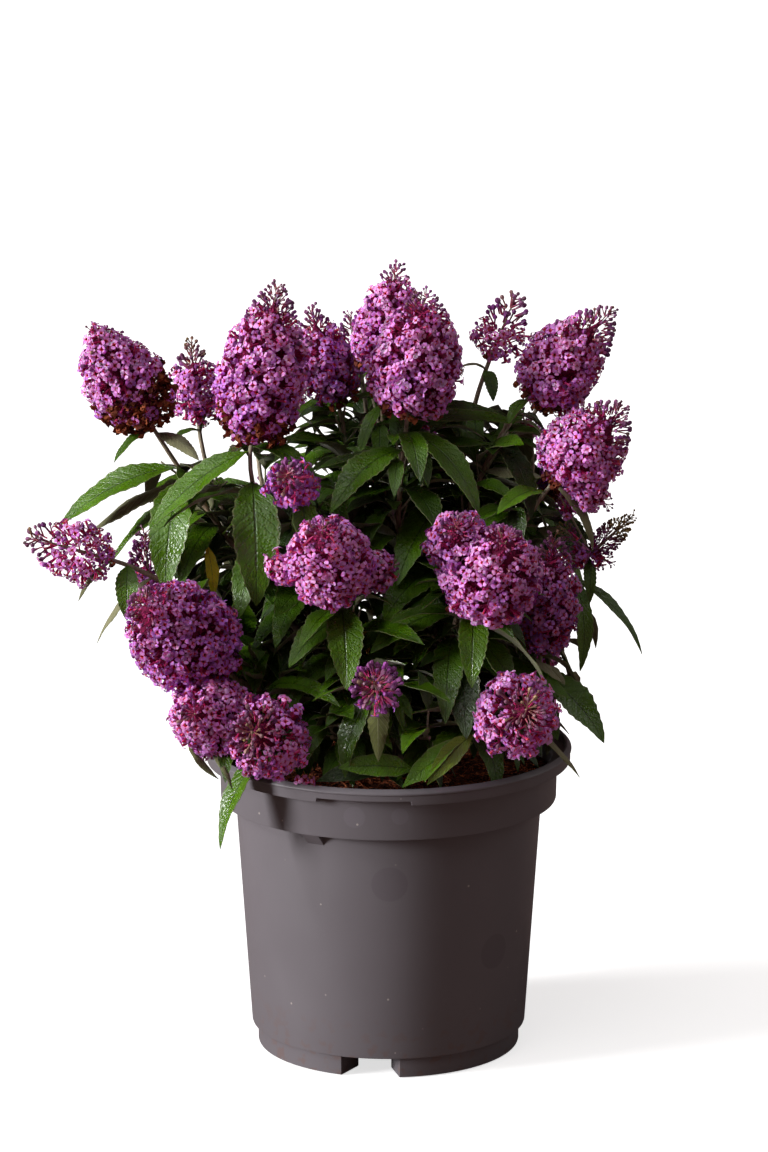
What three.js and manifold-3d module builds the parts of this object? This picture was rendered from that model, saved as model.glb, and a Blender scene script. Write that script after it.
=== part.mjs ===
// Butterfly bush in a nursery pot. Millimetres, +Z up, the front faces -Y.
// The origin is the middle of the pot's flat underside.
// Bearings are degrees round the pot's axis from the front, + towards the right.
// A rise is degrees above the level; a reach is a distance out from the pot's axis.
import * as THREE from "three";
import { mergeVertices } from "three/addons/utils/BufferGeometryUtils.js";
import Module from "manifold-3d";

// ---- Driving dimensions ----

const CLEARANCE = 0.3; // between two solids that belong together

// Pot
const RIM_RADIUS = 113;
const RIM_HEIGHT = 191;
const RIM_BEVEL = 2.5;
const RIM_WALL = 4;
const LIP_UNDERSIDE = 181;
const LIP_RELIEF = 2.5; // how much shorter the lip is in its three relieved stretches
const LIP_SHOULDER = 185.5; // inside, where the rim widens over the collar
const COLLAR_RADIUS = 103.7;
const COLLAR_UNDERSIDE = 157;
const BODY_TOP_RADIUS = 94.6;
const BODY_FOOT_RADIUS = 85;
const FOOT_RADIUS = 81.3;
const FOOT_INNER_RADIUS = 61;
const FOOT_HEIGHT = 12.6;
const PAD_RADIUS = 24; // flat pad under the middle of the floor
const WALL = 2;
const DRAFT = 0.5; // how far a moulded ledge or shoulder leans
const FLOOR_TOP = FOOT_HEIGHT + WALL;
const GUSSET_DROP = 8; // how far a gusset runs down the wall below the collar
const POT_SEGMENTS = 40;
const POT_THIRDS = 3; // lip reliefs, gussets and drain notches come three to a pot
const LIP_RELIEF_FROM = -22.7;
const LIP_RELIEF_TO = 7;
const GUSSET_FROM = -31.5;
const GUSSET_TO = -24.5;
const STATION_LEAST = 3; // degrees between a plain facet's edge and a step
const STEP_ANGLE = 0.4; // degrees over which the lip or a gusset steps
const NOTCH_BEARING = -8;
const NOTCH_OUTER_WIDTH = 38;
const NOTCH_INNER_WIDTH = 21;
const NOTCH_OVERCUT = 5; // how far the cutting wedge runs past the foot

// Substrate
const SOIL_SEGMENTS = 26;
const SOIL_EDGE = 171;
const SOIL_CROWN = 174.5;
const SOIL_LUMP = 1.6; // most height of a lump, half way out
const SOIL_LUMP_RADIUS = 68;
const SOIL_LUMP_FALL = 0.5; // share of the way from the crown down to the edge at the lumps
const SOIL_FLAT_RADIUS = 34; // level patch that the trunk stands on

// Trunk and boughs
const FORK_HEIGHT = 197;
const TRUNK_FLARE_RADIUS = 15;
const TRUNK_FOOT_RADIUS = 10;
const TRUNK_TOP_RADIUS = 7.5;
const TRUNK_FLARE_HEIGHT = 10;
const TRUNK_CROWN_HEIGHT = 6; // above the fork
const FLARE_BEND = [0.4, 0.7]; // share of the flare's height by which so much of it has closed
const TRUNK_SIDES = 10;
const ARM_LENGTH = 23; // from the fork's middle to where a bough begins
const ARM_RADIUS = 3.3;
const BOUGH_RADIUS = 3.1;
const BOUGH_TIP_RADIUS = 2.3;
const LIMB_SIDES = 6;
const ARM_SIDES = 5;

// Shoots, leaves and flower spikes
const STEM_RADIUS = 2.2;
const SHOOT_TIP_RADIUS = 1.3;
const TWIG_SIDES = 3;
const SHOOT_STEP = 28; // length of a straight stretch of a shoot
const FORK_REACH = 5; // from where a mass begins to where its shoots part
const SHOOT_EASE = 0.4; // share of its span over which a shoot turns into its lean
const LEAF_ROOT_SPREADS = [42, 62]; // degrees between a shoot and a leaf that leaves it
const LEAF_LONGEST = 84;
const LEAF_SHORTEST = 50;
const LEAF_SLIMNESS = 0.29; // width over length
const LEAF_THICKNESS = 0.02; // share of its length
const LEAF_BEND = 0.7; // under 1, a leaf droops most near its root
const LEAF_TRIES = 5; // aims that the rule tries before it skips a leaf
const LEAF_TRY_STRAY = 0.8; // share by which each try strays further
const LEAF_TRY_SHORTER = 0.08; // share by which each try is shorter
const LEAF_LENGTHS = [0.9, 1.1]; // shares of the usual length and width that leaves vary between
const LEAF_WIDTHS = [0.85, 1.15];
const LEAF_SHARES = [0.08, 0.94]; // where on its shoot the first and the last pair stand
const LEAF_STRAY = 15; // degrees either way from the crossed pairs, and more on each try
const LEAF_DROOPS = [40, 100]; // degrees from root to tip
const LEAF_ROLL = 20; // degrees either way
const LEAF_PETIOLE = 0.05; // share of a leaf before its blade begins
const LEAF_SECTIONS = [0.3, 0.68]; // shares of a leaf that the rule sets where it has a section
const LEAF_FINE_SECTIONS = [0.22, 0.5, 0.78]; // the same on a prominent leaf
const LEAF_FREE_FROM = 0.2; // share of a leaf past which it touches nothing at all
const SPIKE_SINK = 4; // how far a shoot runs up into its spike
const SPIKE_SLIM = 32; // spikes slimmer than this get fewer facets
const SPIKE_LUMP = 0.07; // how far the florets stand in and out of the mean outline

// ---- Directions and places ----

const { degToRad: radians, radToDeg: degrees, lerp, smoothstep } = THREE.MathUtils;

/** The unit vector with this bearing and rise. */
function heading(bearing, rise) {
  const level = Math.cos(radians(rise));
  return new THREE.Vector3(
    level * Math.sin(radians(bearing)),
    -level * Math.cos(radians(bearing)),
    Math.sin(radians(rise)),
  );
}

/** The point at this bearing, reach and height. */
function place(bearing, reach, height) {
  return heading(bearing, 0).multiplyScalar(reach).setZ(height);
}

/** A seeded stream of numbers from 0 to 1. */
function draws(seed) {
  let state = seed >>> 0;
  return () => {
    state = (Math.imul(state, 1664525) + 1013904223) >>> 0;
    return state / 4294967296;
  };
}

// ---- The plant's own sizes ----
// at: bearing, reach and height of the shoot's tip, where its flower spike begins
// lean: bearing and rise of the spike, and of the shoot as it reaches it
// spike: length and width, left out on a leafy shoot
// leaves: the prominent ones, each with its share of the shoot's length, bearing, rise,
//   length, width, droop in degrees from root to tip, and roll where it has one
// pairs: how many pairs of leaves the seeded rule sets on the shoot besides

const MASSES = [
  {
    name: "left_top",
    bough: { bearing: -102, rise: 47, length: 84 },
    shoots: [
      {
        at: [-90, 145, 391],
        lean: [-60, 58],
        spike: [74, 47],
        pairs: 5,
        leaves: [
          [0.78, -90, 0, 84, 21, 45, -30],
          [0.7, -100, -5, 74, 15, 40, -25],
          [0.62, -108, -5, 80, 17, 55, -25],
          [0.72, -15, 5, 85, 26, 100],
          [0.5, -40, 0, 50, 22, 60, -10],
          [0.97, -55, 5, 35, 9, 60],
          [0.95, 50, 10, 38, 10, 50, 30],
        ],
      },
      {
        at: [-115, 130, 380],
        lean: [-39, 83],
        spike: [53, 28],
        pairs: 4,
        leaves: [
          [0.97, -45, 25, 24, 7, 60],
          [0.95, 110, 85, 33, 7, 40],
        ],
      },
    ],
  },
  {
    name: "top_left",
    bough: { bearing: -98, rise: 68, length: 76 },
    shoots: [
      {
        at: [-70, 88, 387],
        lean: [47, 77],
        spike: [99, 52],
        pairs: 5,
        leaves: [
          [0.95, -75, -15, 79, 19, 35, -30],
          [0.8, 5, 0, 89, 28, 105],
          [0.97, 65, 15, 50, 13, 60, 20],
          [0.2, -25, 5, 61, 18, 60],
        ],
      },
      {
        at: [-142, 51, 396],
        lean: [-73, 74],
        spike: [61, 37],
        pairs: 5,
        leaves: [[0.78, -50, 30, 55, 14, 30, -20]],
      },
      {
        at: [-164, 62, 411],
        lean: [-90, 79],
        spike: [38, 22],
        pairs: 4,
        leaves: [[0.98, -20, 20, 24, 8, 70]],
      },
      { at: [-55, 70, 358], lean: [-4, 24], spike: [49, 30], pairs: 3 },
    ],
  },
  {
    name: "top_centre",
    bough: { bearing: 60, rise: 87, length: 88 },
    shoots: [
      {
        at: [-174, 20, 419],
        lean: [35, 80],
        spike: [67, 43],
        pairs: 5,
        leaves: [[0.85, -30, -10, 44, 9, 60]],
      },
      {
        at: [31, 23, 402],
        lean: [34, 76],
        spike: [77, 55],
        pairs: 5,
        leaves: [
          [0.78, -45, 10, 71, 22, 60, -15],
          [0.88, 55, 5, 74, 18, 75, 20],
          [0.93, 105, 20, 75, 14, 40, 25],
          [0.98, 90, 30, 59, 10, 50, 20],
        ],
      },
    ],
  },
  {
    name: "top_right",
    bough: { bearing: 104, rise: 64, length: 84 },
    shoots: [
      {
        at: [116, 69, 425],
        lean: [72, 68],
        spike: [42, 34],
        pairs: 4,
        leaves: [
          [0.4, -30, 20, 89, 25, 80, -10],
          [0.95, 15, 10, 26, 9, 90],
        ],
      },
      {
        at: [90, 86, 408],
        lean: [78, 48],
        spike: [73, 45],
        pairs: 5,
        leaves: [
          [0.6, 65, 20, 40, 12, 35, 25],
          [0.98, -30, 10, 27, 9, 60],
        ],
      },
      { at: [115, 96, 373], lean: [-90, 74], spike: [19, 16], pairs: 3 },
    ],
  },
  {
    name: "right",
    bough: { bearing: 86, rise: 45, length: 72 },
    shoots: [
      {
        at: [79, 103, 360],
        lean: [76, 49],
        spike: [62, 50],
        pairs: 5,
        leaves: [
          [0.92, -40, 25, 49, 15, 55, -10],
          [0.97, 75, -10, 51, 10, 80, 20],
        ],
      },
      {
        at: [90, 124, 310],
        lean: [68, 44],
        spike: [37, 18],
        pairs: 4,
        leaves: [
          [0.8, 25, -20, 68, 12, 95],
          [0.75, 90, -10, 72, 10, 60, 25],
          [0.97, 5, -15, 32, 8, 90],
        ],
      },
    ],
  },
  {
    name: "left",
    bough: { bearing: -90, rise: 30, length: 76 },
    shoots: [
      {
        at: [-83, 171, 311],
        lean: [-67, 20],
        spike: [55, 37],
        pairs: 3,
        leaves: [
          [0.9, 0, -5, 39, 14, 90],
          [0.75, -105, -20, 59, 13, 50, -20],
          [0.98, -65, -10, 34, 8, 60],
          [0.2, 0, 60, 45, 16, 20],
        ],
      },
      { at: [-94, 147, 284], lean: [-31, 81], spike: [39, 24], pairs: 6 },
    ],
  },
  {
    name: "left_low",
    bough: { bearing: -54, rise: 15, length: 50 },
    shoots: [
      {
        at: [-62, 119, 255],
        lean: [-35, 36],
        spike: [91, 62],
        pairs: 3,
        leaves: [[0.5, 40, 40, 80, 13, 60, 25]],
      },
      {
        at: [-55, 122, 222],
        lean: [-16, 19],
        spike: [61, 47],
        pairs: 2,
        leaves: [
          [0.9, 0, 20, 58, 13, 80],
          [0.97, 3, 15, 46, 14, 90],
        ],
      },
      {
        at: [-40, 105, 213],
        lean: [-14, 20],
        spike: [61, 50],
        pairs: 2,
        leaves: [[0.8, -57, -11, 80, 18, 73]],
      },
    ],
  },
  {
    name: "front",
    bough: { bearing: -14, rise: 42, length: 50 },
    shoots: [
      {
        at: [-25, 77, 307],
        lean: [-8, 42],
        spike: [68, 50],
        pairs: 5,
        leaves: [
          [0.72, 5, 10, 63, 22, 95],
          [0.6, -40, 15, 58, 19, 60, -10],
        ],
      },
      {
        at: [-4, 90, 246],
        lean: [-3, 21],
        spike: [48, 32],
        pairs: 4,
        leaves: [[0.85, 0, 5, 51, 13, 90]],
      },
    ],
  },
  {
    name: "right_front",
    bough: { bearing: 50, rise: 45, length: 54 },
    shoots: [
      {
        at: [38, 88, 297],
        lean: [20, 46],
        spike: [68, 60],
        pairs: 4,
        leaves: [[0.55, 65, -5, 52, 20, 70, 15]],
      },
      {
        at: [32, 83, 322],
        lean: [-8, 40],
        spike: [46, 40],
        pairs: 4,
        leaves: [
          [0.3, -5, 10, 72, 19, 80],
          [0.5, -55, 15, 69, 21, 50, -20],
          [0.25, 45, 10, 47, 15, 50, 10],
        ],
      },
      {
        at: [72, 98, 255],
        lean: [35, 81],
        spike: [75, 38],
        pairs: 3,
        leaves: [
          [0.8, 65, -10, 65, 23, 50, 25],
          [0.9, 45, 5, 25, 12, 50],
        ],
      },
    ],
  },
  {
    name: "right_low",
    bough: { bearing: 42, rise: 12, length: 46 },
    shoots: [
      {
        at: [42, 108, 226],
        lean: [10, 21],
        spike: [60, 50],
        pairs: 3,
        leaves: [
          [0.9, 75, 0, 58, 11, 60],
          [0.45, -30, 20, 74, 18, 60],
          [0.2, -35, 15, 72, 15, 50, -15],
        ],
      },
      { at: [80, 92, 222], lean: [85, 15], pairs: 6 },
    ],
  },
  {
    name: "front_low",
    bough: { bearing: -8, rise: 12, length: 40 },
    shoots: [
      {
        at: [-24, 84, 214],
        lean: [-28, 12],
        pairs: 2,
        leaves: [
          [0.6, 15, 20, 39, 10, 60],
          [0.8, 55, 2, 55, 17, 50, 20],
          [0.35, -29, 3, 49, 16, 40],
        ],
      },
      { at: [16, 88, 216], lean: [20, 15], pairs: 3 },
    ],
  },
  {
    name: "back_left",
    bough: { bearing: -134, rise: 40, length: 62 },
    shoots: [
      { at: [-139, 126, 361], lean: [-176, 67], spike: [58, 42], pairs: 6 },
      { at: [-152, 120, 286], lean: [-150, 38], spike: [60, 48], pairs: 5 },
      { at: [-120, 121, 231], lean: [-127, 29], spike: [50, 40], pairs: 4 },
    ],
  },
  {
    name: "back_centre",
    bough: { bearing: 180, rise: 54, length: 66 },
    shoots: [
      { at: [175, 95, 357], lean: [176, 70], spike: [62, 46], pairs: 6 },
      { at: [152, 112, 286], lean: [150, 46], spike: [54, 42], pairs: 6 },
    ],
  },
  {
    name: "back_right",
    bough: { bearing: 133, rise: 40, length: 62 },
    shoots: [
      { at: [129, 120, 386], lean: [122, 47], spike: [55, 42], pairs: 7 },
      { at: [122, 122, 329], lean: [122, 46], spike: [54, 42], pairs: 6 },
    ],
  },
  {
    name: "back_low",
    bough: { bearing: -176, rise: 16, length: 48 },
    shoots: [
      { at: [-160, 112, 234], lean: [-160, 24], spike: [58, 46], pairs: 4 },
      { at: [168, 116, 248], lean: [165, 30], spike: [60, 46], pairs: 4 },
      { at: [132, 104, 222], lean: [130, 18], spike: [46, 34], pairs: 4 },
    ],
  },
];

const SEED = 71;

// How far out ordinary leaves reach: from the rim to the waist, and in again at the top.
const CROWN_FOOT_REACH = 118;
const CROWN_FOOT_HEIGHT = 180;
const CROWN_LEFT_REACH = 156;
const CROWN_RIGHT_REACH = 132;
const CROWN_WAIST_HEIGHT = 260;
const CROWN_SHOULDER_HEIGHT = 330;
const CROWN_TOP_HEIGHT = 450;
const CROWN_TAPER = 70;
const LEAF_HEADROOM = 5; // above the substrate, or above the rim outside it

// Clear sky between the upper shoots, seen from the front: x and z of its middle in
// the plane y = 0, half its width and height, and how the view drops towards the back.
const SKY_DROP = 0.2;
const SKY_GAPS = [
  { x: -122, z: 384, half: [20, 14] },
  { x: -88, z: 360, half: [22, 8] },
  { x: 52, z: 414, half: [18, 9] },
  { x: 112, z: 352, half: [14, 16] },
];

// ---- Solids ----

const { Manifold, Mesh } = await startManifold();

async function startManifold() {
  const wasm = await Module();
  wasm.setup();
  return wasm;
}

/** A closed solid from corner points and triangles of their indices. */
function solidOf(points, triangles) {
  const geometry = new THREE.BufferGeometry().setFromPoints(points);
  geometry.setIndex(triangles.flat());
  const merged = mergeVertices(geometry, 1e-5);
  return new Manifold(
    new Mesh({
      numProp: 3,
      vertProperties: new Float32Array(merged.attributes.position.array),
      triVerts: new Uint32Array(merged.index.array),
    }),
  );
}

/** Joins rings of equal point counts into a closed solid; an end may be one point. */
function skin(rings) {
  const points = rings.flat();
  const triangles = [];
  const starts = [];
  rings.reduce((start, ring) => (starts.push(start), start + ring.length), 0);
  for (let i = 0; i + 1 < rings.length; i++) {
    const [a, b] = [rings[i], rings[i + 1]];
    const count = Math.max(a.length, b.length);
    for (let k = 0; k < count; k++) {
      const next = (k + 1) % count;
      const [a0, a1] = [starts[i] + (k % a.length), starts[i] + (next % a.length)];
      const [b0, b1] = [starts[i + 1] + (k % b.length), starts[i + 1] + (next % b.length)];
      if (a.length > 1) triangles.push([a0, a1, b0]);
      if (b.length > 1) triangles.push([a1, b1, b0]);
    }
  }
  const last = rings.length - 1;
  for (let k = 1; k + 1 < rings[0].length; k++)
    triangles.push([starts[0], starts[0] + k + 1, starts[0] + k]);
  for (let k = 1; k + 1 < rings[last].length; k++)
    triangles.push([starts[last], starts[last] + k, starts[last] + k + 1]);
  return solidOf(points, triangles);
}

/** A pair of unit vectors square to a direction and to each other. */
function across(direction) {
  const side = new THREE.Vector3(0, 0, 1).cross(direction);
  if (side.lengthSq() < 1e-4) side.set(1, 0, 0);
  side.normalize();
  return [side, direction.clone().cross(side).normalize()];
}

/** A tapering limb through points, with a radius at each. */
function limb(points, radii, sides) {
  const rings = points.map((point, i) => {
    const ahead = points[Math.min(i + 1, points.length - 1)];
    const behind = points[Math.max(i - 1, 0)];
    const [u, v] = across(ahead.clone().sub(behind).normalize());
    return Array.from({ length: sides }, (_, k) => {
      const angle = (2 * Math.PI * k) / sides;
      return point
        .clone()
        .addScaledVector(u, radii[i] * Math.cos(angle))
        .addScaledVector(v, radii[i] * Math.sin(angle));
    });
  });
  return skin(rings);
}

/** The outer skin of the largest body: hollows are filled and scraps dropped. */
function wholeBody(solid) {
  return solid
    .decompose()
    .reduce((best, body) => (body.volume() > best.volume() ? body : best));
}

// ---- Pot and substrate ----

/** Whether a bearing lies in one of the three stretches that begin and end here. */
function inThird(bearing, from, to) {
  const pitch = 360 / POT_THIRDS;
  const turn = (((bearing - from) % pitch) + pitch) % pitch;
  return turn > 0 && turn < to - from;
}

/** Bearings of the pot's facets, with close pairs where the lip or a gusset steps. */
function potStations() {
  const stations = Array.from({ length: POT_SEGMENTS }, (_, k) => (360 * k) / POT_SEGMENTS);
  for (let third = 0; third < POT_THIRDS; third++)
    for (const edge of [LIP_RELIEF_FROM, LIP_RELIEF_TO, GUSSET_FROM, GUSSET_TO]) {
      const bearing = (edge + (360 * third) / POT_THIRDS + 720) % 360;
      stations.push(bearing - STEP_ANGLE / 2, bearing + STEP_ANGLE / 2);
    }
  const edges = stations.slice(POT_SEGMENTS);
  const free = (bearing) => edges.every((edge) => Math.abs(bearing - edge) > STATION_LEAST);
  return [...stations.slice(0, POT_SEGMENTS).filter(free), ...edges].sort((a, b) => a - b);
}

/** The pot's section at a bearing, as reach and height: pad, foot, wall, rim and inside. */
function potSection(bearing) {
  const relieved = inThird(bearing, LIP_RELIEF_FROM, LIP_RELIEF_TO);
  const gusset = inThird(bearing, GUSSET_FROM, GUSSET_TO);
  const lipUnder = LIP_UNDERSIDE + (relieved ? LIP_RELIEF : 0);
  const slope = (BODY_TOP_RADIUS - BODY_FOOT_RADIUS) / (COLLAR_UNDERSIDE - FOOT_HEIGHT);
  const wallAt = (height) => BODY_FOOT_RADIUS + slope * (height - FOOT_HEIGHT);
  const gussetFoot = COLLAR_UNDERSIDE - GUSSET_DROP;
  return [
    [PAD_RADIUS, 0],
    [PAD_RADIUS + DRAFT, FOOT_HEIGHT],
    [FOOT_INNER_RADIUS, FOOT_HEIGHT],
    [FOOT_INNER_RADIUS, 0],
    [FOOT_RADIUS, 0],
    [FOOT_RADIUS, FOOT_HEIGHT],
    [BODY_FOOT_RADIUS, FOOT_HEIGHT + DRAFT],
    [wallAt(gussetFoot), gussetFoot],
    [gusset ? COLLAR_RADIUS - DRAFT : wallAt(COLLAR_UNDERSIDE), COLLAR_UNDERSIDE],
    [COLLAR_RADIUS, COLLAR_UNDERSIDE],
    [COLLAR_RADIUS + DRAFT, lipUnder],
    [RIM_RADIUS, lipUnder],
    [RIM_RADIUS, RIM_HEIGHT - RIM_BEVEL],
    [RIM_RADIUS - RIM_BEVEL, RIM_HEIGHT],
    ...potInside(0).reverse(),
  ];
}

/** The inner wall from the floor up to the rim, drawn in by a clearance. */
function potInside(clearance) {
  return [
    [BODY_FOOT_RADIUS - WALL - clearance, FLOOR_TOP],
    [BODY_TOP_RADIUS - WALL - clearance, COLLAR_UNDERSIDE + WALL],
    [COLLAR_RADIUS - WALL - clearance, COLLAR_UNDERSIDE + WALL + DRAFT],
    [COLLAR_RADIUS - WALL - clearance, LIP_SHOULDER],
    [RIM_RADIUS - RIM_WALL - clearance, LIP_SHOULDER + DRAFT],
    [RIM_RADIUS - RIM_WALL - clearance, RIM_HEIGHT - DRAFT],
  ];
}

/** A body turned about the pot's axis; each section runs between two axis points. */
function turned(stations, sectionAt, low, high) {
  const points = [new THREE.Vector3(0, 0, low), new THREE.Vector3(0, 0, high)];
  const starts = [];
  let count = 0;
  for (const bearing of stations) {
    const section = sectionAt(bearing);
    count = section.length;
    starts.push(points.length);
    for (const [reach, height] of section) points.push(place(bearing, reach, height));
  }
  const triangles = [];
  stations.forEach((_, i) => {
    const [a, b] = [starts[i], starts[(i + 1) % stations.length]];
    triangles.push([0, b, a], [1, a + count - 1, b + count - 1]);
    for (let k = 0; k + 1 < count; k++)
      triangles.push([a + k, b + k, a + k + 1], [b + k, b + k + 1, a + k + 1]);
  });
  return solidOf(points, triangles);
}

function makePot() {
  const body = turned(potStations(), potSection, 0, FLOOR_TOP);
  const notches = Array.from({ length: POT_THIRDS }, (_, third) =>
    drainNotch(NOTCH_BEARING + (360 * third) / POT_THIRDS),
  );
  return wholeBody(body.subtract(Manifold.union(notches)));
}

/** The wedge that a drain notch takes out of the foot. */
function drainNotch(bearing) {
  const [near, far] = [FOOT_INNER_RADIUS - NOTCH_OVERCUT, FOOT_RADIUS + NOTCH_OVERCUT];
  const widen = (NOTCH_OUTER_WIDTH - NOTCH_INNER_WIDTH) / (FOOT_RADIUS - FOOT_INNER_RADIUS);
  const out = heading(bearing, 0);
  const side = heading(bearing + 90, 0);
  const corner = (reach, hand, height) =>
    out
      .clone()
      .multiplyScalar(reach)
      .addScaledVector(side, (hand * (NOTCH_INNER_WIDTH + widen * (reach - FOOT_INNER_RADIUS))) / 2)
      .setZ(height);
  const ring = (height) => [
    corner(near, -1, height),
    corner(near, 1, height),
    corner(far, 1, height),
    corner(far, -1, height),
  ];
  return outwardSkin([ring(-NOTCH_OVERCUT), ring(FOOT_HEIGHT - DRAFT)]);
}

function makeSoil() {
  const stations = Array.from({ length: SOIL_SEGMENTS }, (_, k) => (360 * k) / SOIL_SEGMENTS);
  // The pot's own facets cut inside its round wall by this much.
  const inside = potInside(CLEARANCE + RIM_RADIUS * (1 - Math.cos(Math.PI / POT_SEGMENTS)));
  const edge = [[inside[0][0], FLOOR_TOP + CLEARANCE], inside[1], inside[2], [inside[2][0], SOIL_EDGE]];
  const next = draws(SEED + 1);
  const lumps = new Map(stations.map((bearing) => [bearing, SOIL_LUMP * next()]));
  const section = (bearing) => [
    ...edge,
    [SOIL_LUMP_RADIUS, lerp(SOIL_CROWN, SOIL_EDGE, SOIL_LUMP_FALL) + lumps.get(bearing)],
    [SOIL_FLAT_RADIUS, SOIL_CROWN],
  ];
  return turned(stations, section, FLOOR_TOP + CLEARANCE, SOIL_CROWN);
}

// ---- Trunk and boughs ----

const FORK = new THREE.Vector3(0, 0, FORK_HEIGHT);

function boughEnds({ bearing, rise, length }) {
  const along = heading(bearing, rise);
  const from = FORK.clone().addScaledVector(along, ARM_LENGTH + CLEARANCE);
  const to = FORK.clone().addScaledVector(along, length);
  return { along, from, to };
}

function makeTrunk() {
  const foot = SOIL_CROWN + CLEARANCE;
  const flareTop = foot + TRUNK_FLARE_HEIGHT;
  const heights = [
    foot,
    lerp(foot, flareTop, FLARE_BEND[0]),
    flareTop,
    FORK_HEIGHT,
    FORK_HEIGHT + TRUNK_CROWN_HEIGHT,
  ];
  const stem = limb(
    heights.map((height) => new THREE.Vector3(0, 0, height)),
    [
      TRUNK_FLARE_RADIUS,
      lerp(TRUNK_FLARE_RADIUS, TRUNK_FOOT_RADIUS, FLARE_BEND[1]),
      TRUNK_FOOT_RADIUS,
      TRUNK_TOP_RADIUS,
      TRUNK_TOP_RADIUS / 2,
    ],
    TRUNK_SIDES,
  );
  const arms = MASSES.map(({ bough }) => {
    const { along } = boughEnds(bough);
    const tip = FORK.clone().addScaledVector(along, ARM_LENGTH);
    return limb([FORK, tip], [ARM_RADIUS, ARM_RADIUS], ARM_SIDES);
  });
  return wholeBody(Manifold.union([stem, ...arms]));
}

function makeBough({ bough }) {
  const { from, to } = boughEnds(bough);
  return limb([from, to], [BOUGH_RADIUS, BOUGH_TIP_RADIUS], LIMB_SIDES);
}

// ---- Shoots, leaves and spikes ----

/** Where a mass begins and where its shoots part. */
function massRoot({ bough }) {
  const { along, to } = boughEnds(bough);
  const start = to.clone().addScaledVector(along, CLEARANCE);
  return { start, fork: start.clone().addScaledVector(along, FORK_REACH) };
}

/** A shoot's middle line: from the fork to its tip, easing into the spike's lean. */
function shootLine(mass, shoot) {
  const { fork } = massRoot(mass);
  const tip = place(...shoot.at);
  const span = tip.distanceTo(fork);
  const ease = tip.clone().addScaledVector(heading(...shoot.lean), -SHOOT_EASE * span);
  return new THREE.QuadraticBezierCurve3(fork, ease, tip);
}

/** A leaf's middle line and cross frame at a share of its length. */
function leafFrame(root, leaf, share) {
  const steps = 12;
  const point = root.clone();
  const riseAt = (part) => leaf.rise - leaf.droop * Math.pow(part, LEAF_BEND);
  for (let k = 0; k < steps; k++)
    point.addScaledVector(
      heading(leaf.bearing, riseAt((share * (k + 0.5)) / steps)),
      (leaf.length * share) / steps,
    );
  const along = heading(leaf.bearing, riseAt(share));
  const side = heading(leaf.bearing + 90, 0).applyAxisAngle(along, radians(leaf.roll));
  return { point, side, up: along.clone().cross(side).normalize() };
}

/** Half the blade's width at a share of its length. */
function leafHalfWidth(leaf, share) {
  const blade = Math.max(0, (share - LEAF_PETIOLE) / (1 - LEAF_PETIOLE));
  return (leaf.width / 2) * Math.sin(Math.PI * Math.pow(blade, 0.8)) ** 0.85;
}

/** A thin solid leaf, or the part of it past a share: flat above, a keel along the midrib below. */
function leafSolid(root, leaf, shares, from = 0) {
  const thickness = Math.max(LEAF_THICKNESS * leaf.length, 1);
  const rings = shares.map((share) => {
    const { point, side, up } = leafFrame(root, leaf, share);
    const half = leafHalfWidth(leaf, share);
    return [
      point.clone().addScaledVector(side, half),
      point.clone().addScaledVector(side, -half),
      point.clone().addScaledVector(up, -thickness),
    ];
  });
  const start = from > 0 ? leafFrame(root, leaf, from).point : root.clone();
  return outwardSkin([[start], ...rings, [leafFrame(root, leaf, 1).point]]);
}

/** Joins rings whichever way round they run, with the faces outward. */
function outwardSkin(rings) {
  const solid = skin(rings);
  return solid.volume() < 0 ? skin(rings.map((ring) => [...ring].reverse())) : solid;
}

/** How wide a flower spike is at a share of its length, against its full width. */
function spikeShape(share) {
  return Math.sin(Math.PI * Math.pow(0.05 + 0.91 * share, 0.72)) ** 0.8;
}

function spikeSolid(shoot, next) {
  const base = place(...shoot.at);
  const along = heading(...shoot.lean);
  const [length, width] = shoot.spike;
  const [u, v] = across(along);
  const rings = [];
  const [bands, sides] = width < SPIKE_SLIM ? [4, 6] : [5, 8];
  for (let i = 0; i <= bands; i++) {
    const share = i / bands;
    const turn = i % 2 ? Math.PI / sides : 0;
    rings.push(
      Array.from({ length: sides }, (_, k) => {
        const angle = turn + (2 * Math.PI * k) / sides;
        const lump = 1 + SPIKE_LUMP * (2 * next() - 1);
        const reach = (width / 2) * spikeShape(share) * lump;
        return base
          .clone()
          .addScaledVector(along, length * share)
          .addScaledVector(u, reach * Math.cos(angle))
          .addScaledVector(v, reach * Math.sin(angle));
      }),
    );
  }
  return outwardSkin(rings);
}

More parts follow.
